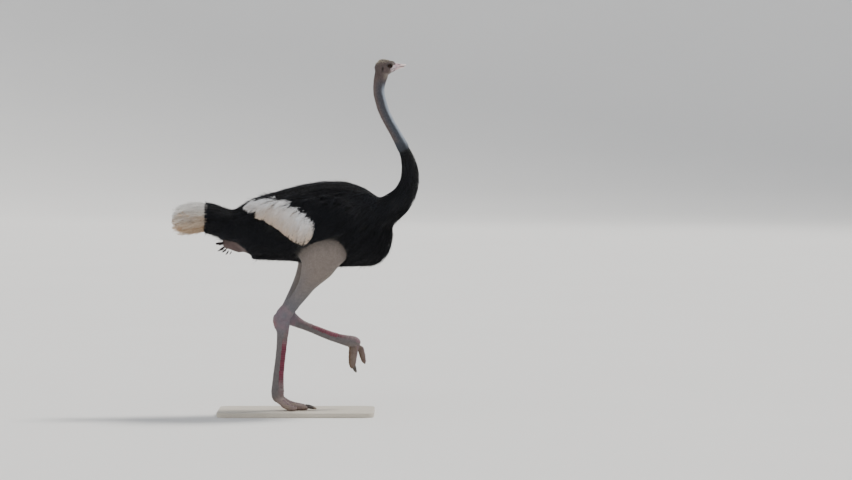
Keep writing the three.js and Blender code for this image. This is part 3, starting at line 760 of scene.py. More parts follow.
# Pale pinkish horn with faint growth lines, waxy and a little see-through.
bill_finish = grained(
    "bill_horn", 90.0, 5.0, (0.86, 1.08), (0.3, 0.55), (0.3, 0.0005), stretch=(1.0, 6.0, 3.0), distortion=0.6,
    Specular_IOR_Level=0.4, Subsurface_Weight=0.15, Subsurface_Scale=0.003,
)
for name, stations, shaped in [("upper", UPPER_BILL, upper_sheath), ("lower", LOWER_BILL, lower_sheath)]:
    bill_mesh = mesh_of(horn(stations, 72, 80, 0.8, shaped))
    x, y, z = in_millimetres(points_of(bill_mesh)).T
    tones = np.tile(np.array(colour(*BILL_PALE)[:3]), (len(x), 1))
    tones = painted(tones, 1 - step_between(x, 634, 668), BILL_MAUVE)
    # Painted shade along the parting between the jaws.
    parting = distance_to_line(x, z, [(640, 2191), (666, 2195), (700, 2201)])
    tones = painted(tones, 0.7 * (1 - step_between(parting, 0.8, 3.2)), BILL_PARTING_SHADE)
    hole = np.hypot((x - NOSTRIL["x"]) / NOSTRIL["length"], (np.abs(y) - NOSTRIL["out"]) / NOSTRIL["width"])
    tones = painted(tones, (z > 2202) * (1 - step_between(hole, 0.9, 2.4)), NOSTRIL_MAUVE)
    # Painted shade inside the nostril opening.
    tones = painted(tones, (z > 2202) * (1 - step_between(hole, 0.7, 1.15)), NOSTRIL_SHADE)
    tint_mesh(bill_mesh, tones)
    sheath = put(f"bill_{name}_sheath", bill_mesh, bill_finish)
    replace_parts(sheath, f"bill_{name}")

# ---------------------------------------------------------------- leg scutes
# The broad overlapping horn plates in one row down the front of each shank and along the top of each toe.
# Each is a sheet bent over the hide, tucked under the one above it and raised at its lower edge, with a
# thickness.

# A row has a line of places inside the limb, the length of a plate, and how many degrees it reaches each way.
SCUTE_ROWS = {
    "shank_right": ([
        (-82, -91, 508), (-89, -86, 440), (-98, -80, 345), (-109, -76, 250), (-115, -72, 165),
        (-118, -70, 110),
    ], 15, 80),
    "shank_left": ([
        (36, 93, 540), (90, 90, 517), (154, 87, 491), (218, 84, 466), (282, 82, 447), (340, 80, 434),
        (372, 80, 428),
    ], 15, 80),
    "toe_inner_right": ([
        (-104, -65, 74), (-86, -63, 58), (-46, -60, 36), (6, -57, 27), (44, -54, 23), (56, -53, 21),
    ], 11, 60),
    "toe_outer_right": ([(-90, -97, 54), (-54, -111, 31), (-18, -124, 23), (0, -130, 18)], 9, 62),
    "toe_inner_left": ([
        (374, 71, 412), (372, 68, 400), (366, 64, 364), (362, 60, 318), (362, 59, 297), (363, 58, 287),
    ], 11, 60),
    "toe_outer_left": ([(404, 100, 402), (422, 111, 356), (430, 117, 322), (436, 120, 300)], 9, 62),
}
SCUTE_THICKNESS = 1.6
SHANK_REACH = 60  # thicker than half the limb, so that the hide is found
TOE_REACH = 30
SCUTE_ROSE = (104, 38, 58)
SCUTE_PALE = (150, 100, 112)
SCUTE_TAUPE = (106, 94, 94)

hide_tree = BVHTree.FromPolygons([Vector(p) for p in hide_points], [tuple(p.vertices) for p in hide.polygons])


def scute(middle, along, front, length, spread, lift, reach):
    """One plate, shaped from a flat grid: its long way wraps round the limb, which is at most reach thick."""
    form = bmesh.new()
    bmesh.ops.create_grid(form, x_segments=14, y_segments=6, size=0.5)
    left = along.cross(front)
    ahead = hide_tree.ray_cast(middle, front, reach)[3] or 20.0
    form.verts.index_update()
    edges = np.array([[v.index for v in edge.verts] for edge in form.edges])
    centres, ways, skin_at = [], [], []
    for vert in form.verts:
        turn, share = vert.co.x * 2, vert.co.y + 0.5
        angle = math.radians(spread) * turn
        ways.append(front * math.cos(angle) + left * math.sin(angle))
        bow = (1 - turn * turn) * 0.18 * length
        centres.append(middle + along * ((share - 0.5) * length * 1.22 + bow * share))
        found = hide_tree.ray_cast(centres[-1], ways[-1])[3] or ahead
        skin_at.append(min(max(found, 0.6 * ahead), 1.25 * ahead))
    skin_at = relaxed(np.array(skin_at), edges, 0.5, 4)
    for vert, centre, way, distance in zip(form.verts, centres, ways, skin_at):
        turn, share = vert.co.x * 2, vert.co.y + 0.5
        tilt = (2.2 + lift) * math.sin(min(share * 1.25, 1) * math.pi / 2)
        raised = -0.8 + tilt - 1.8 * max(share - 0.86, 0) / 0.14
        vert.co = centre + way * (distance + raised - 2.4 * turn**6)
    bmesh.ops.recalc_face_normals(form, faces=form.faces)
    if form.faces[0].normal.dot(front) < 0 and abs(form.faces[0].normal.dot(front)) > 0.05:
        bmesh.ops.reverse_faces(form, faces=form.faces)
    bmesh.ops.solidify(form, geom=form.faces[:], thickness=SCUTE_THICKNESS)
    return form


# Worn horn, its colour from plate to plate, paler where the edges rub.
scute_finish = grained(
    "scute_horn", 240.0, 5.0, (0.8, 1.15), (0.45, 0.7), (0.3, 0.0006), Specular_IOR_Level=0.3,
)
scute_random = np.random.default_rng(5)
for row_name, (line, length, spread) in SCUTE_ROWS.items():
    stops = np.array(line, float)
    run = np.concatenate([[0], np.cumsum(np.linalg.norm(np.diff(stops, axis=0), axis=1))])
    count = round(run[-1] / length)
    on_shank_row = row_name.startswith("shank")
    limb_reach = SHANK_REACH if on_shank_row else TOE_REACH
    row = bmesh.new()
    tones = []
    for k in range(count):
        at = (k + 0.5) / count * run[-1]
        near = [at, at + 6, at - 6]
        middle, ahead, back = (Vector([np.interp(spot, run, column) for column in stops.T]) for spot in near)
        along = (ahead - back).normalized()
        front = Vector((-along.z, 0, along.x)).normalized()
        front = (front - along * front.dot(along)).normalized()
        around = spread * scute_random.uniform(0.92, 1.06)
        lift = scute_random.uniform(-0.3, 0.4)
        plate = scute(middle, along, front, run[-1] / count, around, lift, limb_reach)
        on_middle = step_between(at, 30, 110) * (1 - step_between(at, run[-1] - 130, run[-1] - 40))
        rosy = on_middle * (1.0 if row_name == "shank_right" else 0.75) if on_shank_row else 0.1
        tone = np.array(colour(*SCUTE_TAUPE)[:3]) * (1 - rosy) + np.array(colour(*SCUTE_ROSE)[:3]) * rosy
        tone = tone * scute_random.uniform(0.82, 1.18)
        for vert in plate.verts:
            near_edge = min(abs((vert.co - middle).dot(along)) / (run[-1] / count / 2), 1.2) ** 6 * 0.12
            tones.append(tone * (1 - near_edge) + np.array(colour(*SCUTE_PALE)[:3]) * near_edge)
        single = bpy.data.meshes.new("plate")
        plate.to_mesh(single)
        plate.free()
        row.from_mesh(single)
        bpy.data.meshes.remove(single)
    row_mesh = mesh_of(row)
    tint_mesh(row_mesh, np.array(tones))
    put(f"scutes_{row_name}", row_mesh, scute_finish)

# ---------------------------------------------------------------- claws
# The great blunt claw of each inner toe: dark horn, ridged along its back, worn paler towards the tip. It is
# a closed tube drawn out along its stations, with its root sunk in the end of the toe.

CLAWS = {
    "right": [
        (50, -54, 24, 10, 11, 13), (66, -52.5, 23.5, 14, 12.5, 15), (84, -51, 21.5, 13.4, 12, 14.6),
        (102, -50, 17.6, 11.4, 10.6, 12.4), (118, -48.6, 13, 8.4, 8, 9), (129, -47.4, 9.6, 4.6, 5, 5),
        (132.5, -47, 8.6, 1, 1, 1),
    ],
    "left": [
        (363, 58, 292, 10, 11, 12), (366, 57.6, 280, 13, 12.4, 14), (370, 57, 265, 13, 12, 13.6),
        (375, 57, 251, 11, 10, 11), (380.4, 57, 241, 7.8, 7, 7.6), (384.6, 57, 235.4, 4.4, 4, 4.2),
        (386, 57, 234, 1, 1, 1),
    ],
}
CLAW_DARK = (66, 58, 54)
CLAW_WORN = (140, 126, 112)


def ridged(share, width, rise, rows):
    back = 1.1 * np.exp(-((width / 2.6) ** 2)) * (rise > 0) * (1 - step_between(share, 0.6, 1))
    rings = 0.35 * np.sin(share * 46 + 0.5 * np.sin(share * 17)) * (1 - step_between(share, 0.6, 0.9))
    return width * (1 + rings / 14), rise + back + np.sign(rise) * rings * (rise > 0)


claw_finish = grained(
    "claw_horn", 180.0, 6.0, (0.7, 1.2), (0.28, 0.6), (0.4, 0.0008), distortion=1.2, Specular_IOR_Level=0.5
)
for side_name, stations in CLAWS.items():
    form = horn(stations, 40, 44, 0.9, ridged)
    for vert in form.verts:
        vert.co.z = max(vert.co.z, 0.3)
    claw_mesh = mesh_of(form)
    start = np.array(stations[0][:3])
    reach = np.linalg.norm(in_millimetres(points_of(claw_mesh)) - start, axis=1)
    base = np.tile(np.array(colour(*CLAW_DARK)[:3]), (len(reach), 1))
    tint_mesh(claw_mesh, painted(base, step_between(reach, 50, 85), CLAW_WORN))
    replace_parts(put(f"claw_horn_{side_name}", claw_mesh, claw_finish), f"claw_{side_name}")

# ---------------------------------------------------------------- lashes, bristles and down
# The long black bristle lashes of the upper lids, the bristles at the ears, the short pale hair on the crown
# with a painted highlight at its tips, and the thin down of the neck. Every strand is a closed three-sided
# blade, rooted in the hide and lying with the others.

# The middle line of the bird in side view, from the tail to the face. The coat's map runs along and round it.
BODY_LINE = [
    (-810, 1230), (-590, 1236), (-450, 1190), (-200, 1166), (200, 1168), (480, 1180), (620, 1270),
    (700, 1370), (730, 1500), (714, 1612), (654, 1740), (582, 1868), (533, 2010), (533, 2100),
    (560, 2185), (660, 2200),
]
BODY_HALF_WIDTH = 272.0  # what stands out beyond this is pressed back by a share
PRESSED_BACK = 0.75
LINE_DOTS = 400
PATCH = 0.003  # how wide each strand or plume is on the coat's map


def unwrapped(points):
    """Each place's own spot on the hide laid flat as a tube: how far along the bird, and how far round it."""
    line = np.array(BODY_LINE, float)
    run = np.concatenate([[0], np.cumsum(np.linalg.norm(np.diff(line, axis=0), axis=1))])
    at = np.linspace(0, run[-1], LINE_DOTS)
    dots = np.stack([np.interp(at, run, line[:, 0]), np.interp(at, run, line[:, 1])], 1)
    ways = np.gradient(dots, axis=0)
    ways /= np.linalg.norm(ways, axis=1, keepdims=True)
    flat = points[:, [0, 2]]
    parts = np.array_split(flat, max(len(flat) // 2000, 1))
    near = np.concatenate([np.argmin(((p[:, None] - dots[None]) ** 2).sum(2), axis=1) for p in parts])
    offset = flat - dots[near]
    above = offset[:, 1] * ways[near, 0] - offset[:, 0] * ways[near, 1]
    round_it = np.arctan2(points[:, 1], above) / (2 * np.pi) + 0.5
    return np.stack([0.01 + 0.98 * near / LINE_DOTS, 0.01 + 0.98 * round_it], 1)


class Coat:
    """Many strands gathered to be one mesh, with their colours and their spots on the coat's map."""

    def __init__(self):
        self.points, self.faces, self.tones, self.spots = [], [], [], []
        self.count = 0

    def add(self, paths, widths, outward, tones, spots, thickness=0.3):
        """paths holds the middle of each ring of each strand and then its tip. tones and spots have one row
        for each."""
        strands, rings = widths.shape
        along = np.diff(paths, axis=1)
        along /= np.maximum(np.linalg.norm(along, axis=2, keepdims=True), 1e-9)
        across = np.cross(outward[:, None] if outward.ndim == 2 else outward[:, :rings], along)
        across /= np.maximum(np.linalg.norm(across, axis=2, keepdims=True), 1e-9)
        rise = np.cross(along, across)
        middle = paths[:, :rings]
        half = across * widths[..., None] / 2
        crest = rise * (widths * thickness)[..., None]
        corners = np.stack([middle - half, middle + half, middle + crest], axis=2)
        blades = np.concatenate([corners.reshape(strands, rings * 3, 3), paths[:, rings:]], axis=1)
        ring_faces = []
        for ring in range(rings - 1):
            a, b, c = 3 * ring, 3 * ring + 1, 3 * ring + 2
            for p, q in ((a, b), (b, c), (c, a)):
                ring_faces += [(p, q, q + 3), (p, q + 3, p + 3)]
        a, tip = 3 * rings - 3, 3 * rings
        ring_faces += [(a, a + 1, tip), (a + 1, a + 2, tip), (a + 2, a, tip), (0, 2, 1)]
        size = 3 * rings + 1
        starts = self.count + size * np.arange(strands)
        faces = starts[:, None, None] + np.array(ring_faces)[None]
        self.points.append(blades.reshape(-1, 3).astype(np.float32))
        self.faces.append(faces.reshape(-1, 3).astype(np.int32))
        thrice = np.concatenate([np.repeat(np.arange(rings), 3), [rings]])
        self.tones.append(tones[:, thrice].reshape(-1, 3).astype(np.float32))
        self.spots.append(spots[:, thrice].reshape(-1, 2).astype(np.float32))
        self.count += size * strands

    def piece(self, name, material, slot):
        points, faces = np.concatenate(self.points), np.concatenate(self.faces)
        beyond = np.maximum(np.abs(points[:, 1]) - BODY_HALF_WIDTH, 0)
        points[:, 1] -= PRESSED_BACK * beyond * np.sign(points[:, 1])
        mesh = bpy.data.meshes.new(name)
        mesh.vertices.add(len(points))
        mesh.vertices.foreach_set("co", in_frame(points).astype(np.float32).ravel())
        mesh.loops.add(faces.size)
        mesh.loops.foreach_set("vertex_index", faces.ravel())
        mesh.polygons.add(len(faces))
        mesh.polygons.foreach_set("loop_start", np.arange(0, faces.size, 3, dtype=np.int32))
        mesh.update(calc_edges=True)
        tint_mesh(mesh, np.concatenate(self.tones))
        spots = np.concatenate(self.spots)[faces.ravel()]
        mesh.uv_layers.new(name="OFBake").data.foreach_set("uv", spots.ravel())
        return put(name, mesh, material)


def tints(*tones):
    return np.array([colour(*tone)[:3] for tone in tones])


def ramp(root, tip, shares):
    """Colours from each strand's root to its tip, one for each ring."""
    return root[:, None] + (tip - root)[:, None] * np.asarray(shares)[None, :, None]


def spread_spots(roots, shares, across=0.0):
    """Each strand's patch on the coat's map: along the strand and across it."""
    along = np.asarray(shares)[None] * 2 - 1
    patch = np.stack(np.broadcast_arrays(along, np.reshape(across, (-1, 1))), axis=2)
    return unwrapped(roots)[:, None] + PATCH / 2 * patch


def bristle_finish(name, gloss):
    """Hair or down: its own colour, streaked, with a soft sheen."""
    sheen = {"Sheen_Weight": 0.15, "Sheen_Roughness": 0.5}
    return grained(name, 300.0, 2.0, (0.82, 1.15), (0.5, 0.75), Specular_IOR_Level=gloss, **sheen)


hide.calc_loop_triangles()
hide_corners = np.array([t.vertices[:] for t in hide.loop_triangles])
hide_normal = normals_of(hide)


def scattered(points, corners, wanted, count, random):
    """Random places on a surface, thick where wanted is high. Returns the places and their triangles."""
    a, b, c = (points[corners[:, k]] for k in range(3))
    area = np.linalg.norm(np.cross(b - a, c - a), axis=1) * wanted[corners].mean(1)
    chosen = random.choice(len(corners), count, p=area / area.sum())
    first, second = np.sqrt(random.random(count)), random.random(count)
    shares = np.stack([1 - first, first * (1 - second), first * second], 1)
    return (points[corners[chosen]] * shares[..., None]).sum(1), chosen


def hairs(coat, wanted, count, length, width, way, tone, random, lift=0.3):
    """Short hairs on the hide, lying along a way. tone gives their root and tip colours from the hide's."""
    roots, chosen = scattered(hide_points, hide_corners, wanted, count, random)
    out = hide_normal[hide_corners[chosen]].mean(1)
    out /= np.linalg.norm(out, axis=1, keepdims=True)
    lie = way(roots) + random.normal(0, 0.22, (count, 3))
    lie -= out * (lie * out).sum(1, keepdims=True)
    lie /= np.linalg.norm(lie, axis=1, keepdims=True)
    reach = length * random.uniform(0.7, 1.3, count)
    lean = lift * random.uniform(0.4, 1.6, count)[:, None]
    middle = roots + (lie * 0.55 + out * lean * 0.55) * reach[:, None]
    tip = roots + (lie + out * lean * 0.75) * reach[:, None]
    paths = np.stack([roots - out * 0.8, middle, tip], 1)
    widths = np.tile([width, width * 0.7], (count, 1)) * random.uniform(0.8, 1.2, (count, 1))
    vary = random.uniform(0.8, 1.2, (count, 1))
    root_tone, tip_tone = tone(roots, paint[hide_corners[chosen, 0]])
    shares = (0, 0.6, 1)
    coat.add(paths, widths, out, ramp(root_tone * vary, tip_tone * vary, shares), spread_spots(roots, shares))


# Crown hair with cream tips: partly pale hair, partly a painted highlight on the top of the head.
CROWN_HAIR_AND_HIGHLIGHT = tints((120, 106, 94), (216, 208, 184))  # a hair's root and tip
EAR_HAIR = tints((44, 37, 37), (84, 74, 70))
NECK_HEIGHTS = [1300, 1426, 1500, 1612, 1740, 1868, 1990, 2041, 2120]
NECK_LEAN = [-0.9, -0.35, 0, 0.32, 0.55, 0.42, 0.2, 0, -0.1]  # how far forward for each part down


def neck_way(points):
    """Down the neck, and back over the crown."""
    height = points[:, 2]
    lean = np.interp(height, NECK_HEIGHTS, NECK_LEAN)
    over_head = step_between(height, 2130, 2200)[:, None]
    down_neck = np.stack([lean, 0 * lean, -np.ones_like(lean)], 1)
    return down_neck * (1 - over_head) + np.array([-1, 0, -0.35]) * over_head


def like_the_hide(roots, under):
    return under * 0.85, under * 1.45


# Cream at the top of the crown: pale hair, with a painted highlight where the light falls on it.
def cream_and_highlight_on_the_crown(roots, under):
    share = step_between(roots[:, 2] - 0.12 * (roots[:, 0] - 575), 2208, 2234)[:, None]
    own = like_the_hide(roots, under)
    return [tone * (1 - share) + cream * share for tone, cream in zip(own, CROWN_HAIR_AND_HIGHLIGHT)]


def ear_tones(roots, under):
    return [np.tile(tone, (len(roots), 1)) for tone in EAR_HAIR]


down_random = np.random.default_rng(11)
down = Coat()
x, y, z = hide_points.T
clear_face = step_between(e, 1.3, 1.7) * (1 - seat) * step_between(ear, 1.0, 1.3) * step_between(gape, 3, 8)
crown = on_head * step_between(z, 2205, 2232) * clear_face * (1 - step_between(x, 618, 637))
nape = on_head * (1 - step_between(x, 530, 560)) * clear_face
forehead = step_between(z, 2208, 2218) * (1 - step_between(x, 628, 642))
cheeks = on_head * clear_face * np.maximum(1 - step_between(x, 600, 622), forehead)
hairs(down, crown + 0.6 * nape, 2600, 10.0, 0.75, neck_way, cream_and_highlight_on_the_crown, down_random, 0.34)
hairs(down, cheeks, 2800, 5.5, 0.6, neck_way, like_the_hide, down_random, 0.3)
neck_part = on_neck * (1 - under_neck_coat)
hairs(down, neck_part, 5200, 8.0, 0.7, neck_way, like_the_hide, down_random, 0.28)
ear_rim = flank_of_head * np.exp(-(((ear - 1.2) / 0.3) ** 2)) * (x < EAR["x"] + 3)
hairs(down, ear_rim, 260, 9.0, 0.7, lambda roots: np.array([0.5, 0, -0.8]), ear_tones, down_random, 0.4)
down.piece("neck_and_head_down", bristle_finish("down_hair", 0.3), "skin")

LASHES = 30
LASH_LENGTH = 13.0
LASH_BLACK = tints((14, 12, 12))
lashes = Coat()
lash_random = np.random.default_rng(12)
for way in SIDES.values():
    turn = np.linspace(math.radians(12), math.radians(172), LASHES) + lash_random.normal(0, 0.02, LASHES)
    root = np.zeros((LASHES, 3))
    root[:, 0] = EYE["x"] + LID["half_length"] * 1.08 * np.cos(turn)
    root[:, 2] = EYE["z"] + LID["above"] * 1.1 * np.sin(turn)
    inwards = Vector((0, -way, 0))
    root[:, 1] = [hide_tree.ray_cast(Vector((px, 80 * way, pz)), inwards)[0].y for px, _, pz in root]
    fan = np.stack([0.75 * np.cos(turn) + 0.1, np.full(LASHES, 1.0 * way), 0.35 + 0 * turn], 1)
    fan /= np.linalg.norm(fan, axis=1, keepdims=True)
    reach = LASH_LENGTH * (0.65 + 0.35 * np.sin(turn)) * lash_random.uniform(0.85, 1.15, LASHES)
    drop = np.array([0, 0, -0.22])
    shares = np.array([0, 0.35, 0.7, 1])
    bend = (shares**2)[None, :, None] * (drop + 0.25 * fan * [1, 0, 0])[:, None]
    course = shares[None, :, None] * fan[:, None] + bend
    paths = root[:, None] - fan[:, None] * 0.6 + reach[:, None, None] * course
    widths = np.tile([1.0, 0.8, 0.5], (LASHES, 1))
    upwards = np.tile([0, 0, 1.0], (LASHES, 1))
    black = np.tile(LASH_BLACK, (LASHES, 1))
    lashes.add(paths, widths, upwards, ramp(black, black, shares), spread_spots(root, shares), 0.6)
lashes.piece("lashes", bristle_finish("lash_bristle", 0.5), "skin")

# ---------------------------------------------------------------- black plumage
# The cock's loose black plumes. Each has a quill that rises through the coat and runs along the body, with
# soft barbs down both its sides. They are rooted all over the trunk, the closed wings and the tail's base,
# overlap like thatch, and leave the thighs, the vent and the white flight plumes open.

BLACK_ROOT = (10, 9, 10)
BLACK_TIP = (15, 15, 18)
QUILL_STOPS = 7
QUILL_WIDTH = 1.8
FAR_THIGH_SHIFT = -58  # the lifted leg's thigh is further back
TAIL_EDGE = -594  # where the black of the tail's base ends
WHITE_LOWER_EDGE = [
    (-339, 1280), (-290, 1248), (-190, 1210), (-112, 1164), (-48, 1110), (0, 1074), (45, 1056), (118, 1110)
]
WHITE_UPPER_EDGE = [
    (-320, 1325), (-282, 1344), (-150, 1366), (-96, 1389), (-62, 1360), (-32, 1318), (28, 1286), (108, 1206)
]


def height_in_patch(points):
    """0 at the lower edge of a wing's white plumes, and 1 at the upper edge."""
    edges = (WHITE_LOWER_EDGE, WHITE_UPPER_EDGE)
    low, high = [np.interp(points[:, 0], *np.transpose(edge)) for edge in edges]
    return np.clip((points[:, 2] - low) / (high - low), 0, 1)


def on_bare_skin(points):
    """Whether a place is over one of the bare stretches that the coat leaves open."""
    right, left = points[..., 1] < -50, points[..., 1] > 50
    far_thigh = inside(points - [FAR_THIGH_SHIFT, 0, 0], THIGH_BARE)
    return (right & inside(points, THIGH_BARE)) | (left & far_thigh) | inside(points, VENT_BARE)


def well_spaced(points, spacing, random):
    """The places that are left when each keeps its neighbours off, spacing apart."""
    tree = KDTree(len(points))
    for i, point in enumerate(points):
        tree.insert(Vector(point), i)
    tree.balance()
    kept, gone = [], np.zeros(len(points), bool)
    for i in random.permutation(len(points)):
        if gone[i]:
            continue
        kept.append(i)
        for _, other, _ in tree.find_range(Vector(points[i]), float(spacing[i])):
            gone[other] = True
    return np.array(kept)


def body_way(points):
    """Which way a feather lies: back along the trunk, down over the breast, and down the neck."""
    x, z = points[:, 0], points[:, 2]
    droop = np.interp(x, [-500, -200, 200, 450, 600], [0.1, 0.42, 0.72, 0.95, 1.5])
    way = np.stack([-np.ones_like(x), np.zeros_like(x), -droop], 1)
    up_neck = (step_between(z, 1300, 1440) * step_between(x, 470, 560))[:, None]
    return way * (1 - up_neck) + neck_way(points) * up_neck


def quills(tree, roots, lengths, way, depths, random, wander=0.16):
    """Each quill's line along a form, and which way is out of the coat at each of its stops."""
    count = len(roots)
    here, out = nearest_on(tree, roots)
    drift = random.normal(0, wander, (count, 3))
    swerve = random.normal(0, 1.3 * wander, (count, 3))
    lines, outs = [], []
    for stop in range(QUILL_STOPS):
        lines.append(here - out * depths[:, stop, None])
        outs.append(out)
        lie = way(here) + drift + swerve * (2 * stop / (QUILL_STOPS - 1) - 1)
        lie -= out * (lie * out).sum(1, keepdims=True)
        lie /= np.linalg.norm(lie, axis=1, keepdims=True)
        here, out = nearest_on(tree, here + lie * (lengths / (QUILL_STOPS - 1))[:, None])
    return np.stack(lines, 1), np.stack(outs, 1)


def cut_back(lines, outs, forbidden, random, least=0.4, overhang=0.06):
    """Shortens each quill so that it ends near the edge of the forbidden places. Returns those that stay long
    enough and lie flat, with their share of the full length."""
    stops = lines.shape[1]
    fine = np.linspace(0, stops - 1, 4 * stops)
    low = np.minimum(fine.astype(int), stops - 2)
    dense = lines[:, low] + (lines[:, low + 1] - lines[:, low]) * (fine - low)[None, :, None]
    bad = forbidden(dense)
    mostly_open = bad.mean(1) < 0.6
    bad &= np.cumsum(~bad, axis=1) > 0  # a quill may start under a neighbouring coat
    first = np.where(bad.any(1), bad.argmax(1) / (len(fine) - 1), 1.0)
    end = np.where(bad.any(1), first + random.uniform(-0.08, overhang, len(lines)), 1.0)
    chord = np.linalg.norm(lines[:, -1] - lines[:, 0], axis=1)
    steps = np.linalg.norm(np.diff(lines, axis=1), axis=2)
    flat = (chord > 0.75 * steps.sum(1)) & (steps.min(1) > 0.45 * np.median(steps, axis=1))
    keep = (end > least) & flat & mostly_open
    at = np.clip(end[keep], 0, 1)[:, None] * np.linspace(0, stops - 1, stops)[None]
    low = np.minimum(at.astype(int), stops - 2)
    rows = np.arange(keep.sum())[:, None]
    share = (at - low)[..., None]
    cut = lambda a: a[keep][rows, low] * (1 - share) + a[keep][rows, low + 1] * share
    return cut(lines), cut(outs), keep, end[keep]


def add_plumes(coat, lines, outs, reach, root_tone, tip_tone, random, barbs, forbidden, barb_width, rings=2,
               start=0.08, droop=0.12, curl=0.35, frizz=0.1, open_angle=58, end_angle=14):
    """The quills and barbs of many plumes. reach is the longest barb of each."""
    count, stops = lines.shape[:2]
    quill_share = np.linspace(0, 1, stops)
    widths = np.tile(np.linspace(QUILL_WIDTH, 0.5, stops - 1), (count, 1))
    quill_tones = ramp(root_tone, tip_tone, quill_share)
    coat.add(lines, widths, outs, quill_tones, spread_spots(lines[:, 0], quill_share), 0.5)
    for side in (-1, 1):
        share = np.linspace(start, 1, barbs)[None] + random.normal(0, 0.35 / barbs, (count, barbs))
        share = np.clip(share, 0, 1)
        at = share * (stops - 1)
        low = np.minimum(at.astype(int), stops - 2)
        rows = np.arange(count)[:, None]
        part = (at - low)[..., None]
        base = lines[rows, low] * (1 - part) + lines[rows, low + 1] * part
        out = outs[rows, low] * (1 - part) + outs[rows, low + 1] * part
        ahead = lines[rows, low + 1] - lines[rows, low]
        ahead /= np.maximum(np.linalg.norm(ahead, axis=2, keepdims=True), 1e-9)
        across = np.cross(out, ahead)
        across /= np.maximum(np.linalg.norm(across, axis=2, keepdims=True), 1e-9)
        angle = open_angle + (end_angle - open_angle) * share + random.normal(0, 7, share.shape)
        angle = np.radians(angle)[..., None]
        way = np.cos(angle) * ahead + side * np.sin(angle) * across
        swell = 0.5 + 0.5 * np.sin(np.pi * share**0.8)
        length = reach[:, None] * swell * random.uniform(0.75, 1.2, share.shape)
        stray = random.normal(0, frizz, share.shape + (3,))
        wave = random.normal(0, 0.45 * frizz, share.shape + (3,))
        steps = np.linspace(0, 1, rings + 1) ** 0.9

        def barb(lengths):
            u = steps[None, None, :, None]
            bend = (curl * np.sin(angle) * ahead - droop * out + stray)[:, :, None]
            swing = np.sin(5.5 * u) * wave[:, :, None]
            return base[:, :, None] + lengths[..., None, None] * (u * way[:, :, None] + u * u * bend + swing)

        for _ in range(4):
            over = forbidden(barb(length)[:, :, -1])
            length = np.where(over, length * 0.6, length)
        paths = barb(length)
        keep = ~forbidden(paths[:, :, -1])
        paths, out = paths[keep], out[keep]
        taper = np.linspace(1, 0.55, rings)
        width = barb_width * random.uniform(0.75, 1.25, len(paths))[:, None] * taper
        vary = random.uniform(0.85, 1.18, (len(paths), 1))
        plume = np.broadcast_to(rows, share.shape)[keep]
        middle = share[keep][:, None]
        first = (root_tone[plume] * (1 - middle) + tip_tone[plume] * middle) * vary
        last = first * 0.4 + tip_tone[plume] * 0.6
        patch = np.stack([middle * 2 - 1 + 0 * steps, side * steps[None] + 0 * middle], axis=2)
        spots = unwrapped(lines[:, 0])[plume][:, None] + PATCH / 2 * patch
        coat.add(paths, width, out, ramp(first, last, steps), spots)


# Soft matt black with a faint cold bloom where the barbs catch the light.
black_finish = grained(
    "black_plume", 18.0, 4.0, (0.7, 1.35), (0.45, 0.7), Specular_IOR_Level=0.2, Sheen_Weight=0.06,
    Sheen_Roughness=0.4, Sheen_Tint=(0.55, 0.65, 0.9, 1),
)
plume_random = np.random.default_rng(21)
everywhere = np.ones(len(coat_points))


def closed_off(points):
    """Where no black barb may end."""
    ragged = 9 * np.sin(points[..., 2] / 8 + 2 * np.sin(points[..., 2] / 23)) * np.cos(points[..., 1] / 13)
    past_tail = points[..., 0] < TAIL_EDGE + ragged
    return on_bare_skin(points) | over_white(points, 0.02, 3) | past_tail


# The downy layer next to the hide is coarse and short. The outer one is long, fine and loose.
BLACK_LAYERS = [
    {
        "spacing": 38.0, "length": 125, "reach": 42, "depths": (13, 6), "barbs": 11, "width": 7.0,
        "wander": 0.3, "rings": 2
    },
    {
        "spacing": 31.5, "length": 190, "reach": 60, "depths": (15, 1), "barbs": 26, "width": 2.1,
        "wander": 0.2, "rings": 3
    },
]
BODY_AREAS = {
    "tail_base": lambda p: p[:, 0] < -380,
    "breast_right": lambda p: (p[:, 0] > 380) & (p[:, 1] < 0),
    "breast_left": lambda p: p[:, 0] > 380,
    "back": lambda p: p[:, 2] > 1350,
    "shoulder_right": lambda p: (p[:, 0] > 60) & (p[:, 1] < 0),
    "shoulder_left": lambda p: p[:, 0] > 60,
    "flank_right": lambda p: p[:, 1] < 0,
    "flank_left": lambda p: p[:, 1] >= 0,
}
area_coats = {area: Coat() for area in BODY_AREAS}
stops = np.linspace(0, 1, QUILL_STOPS)
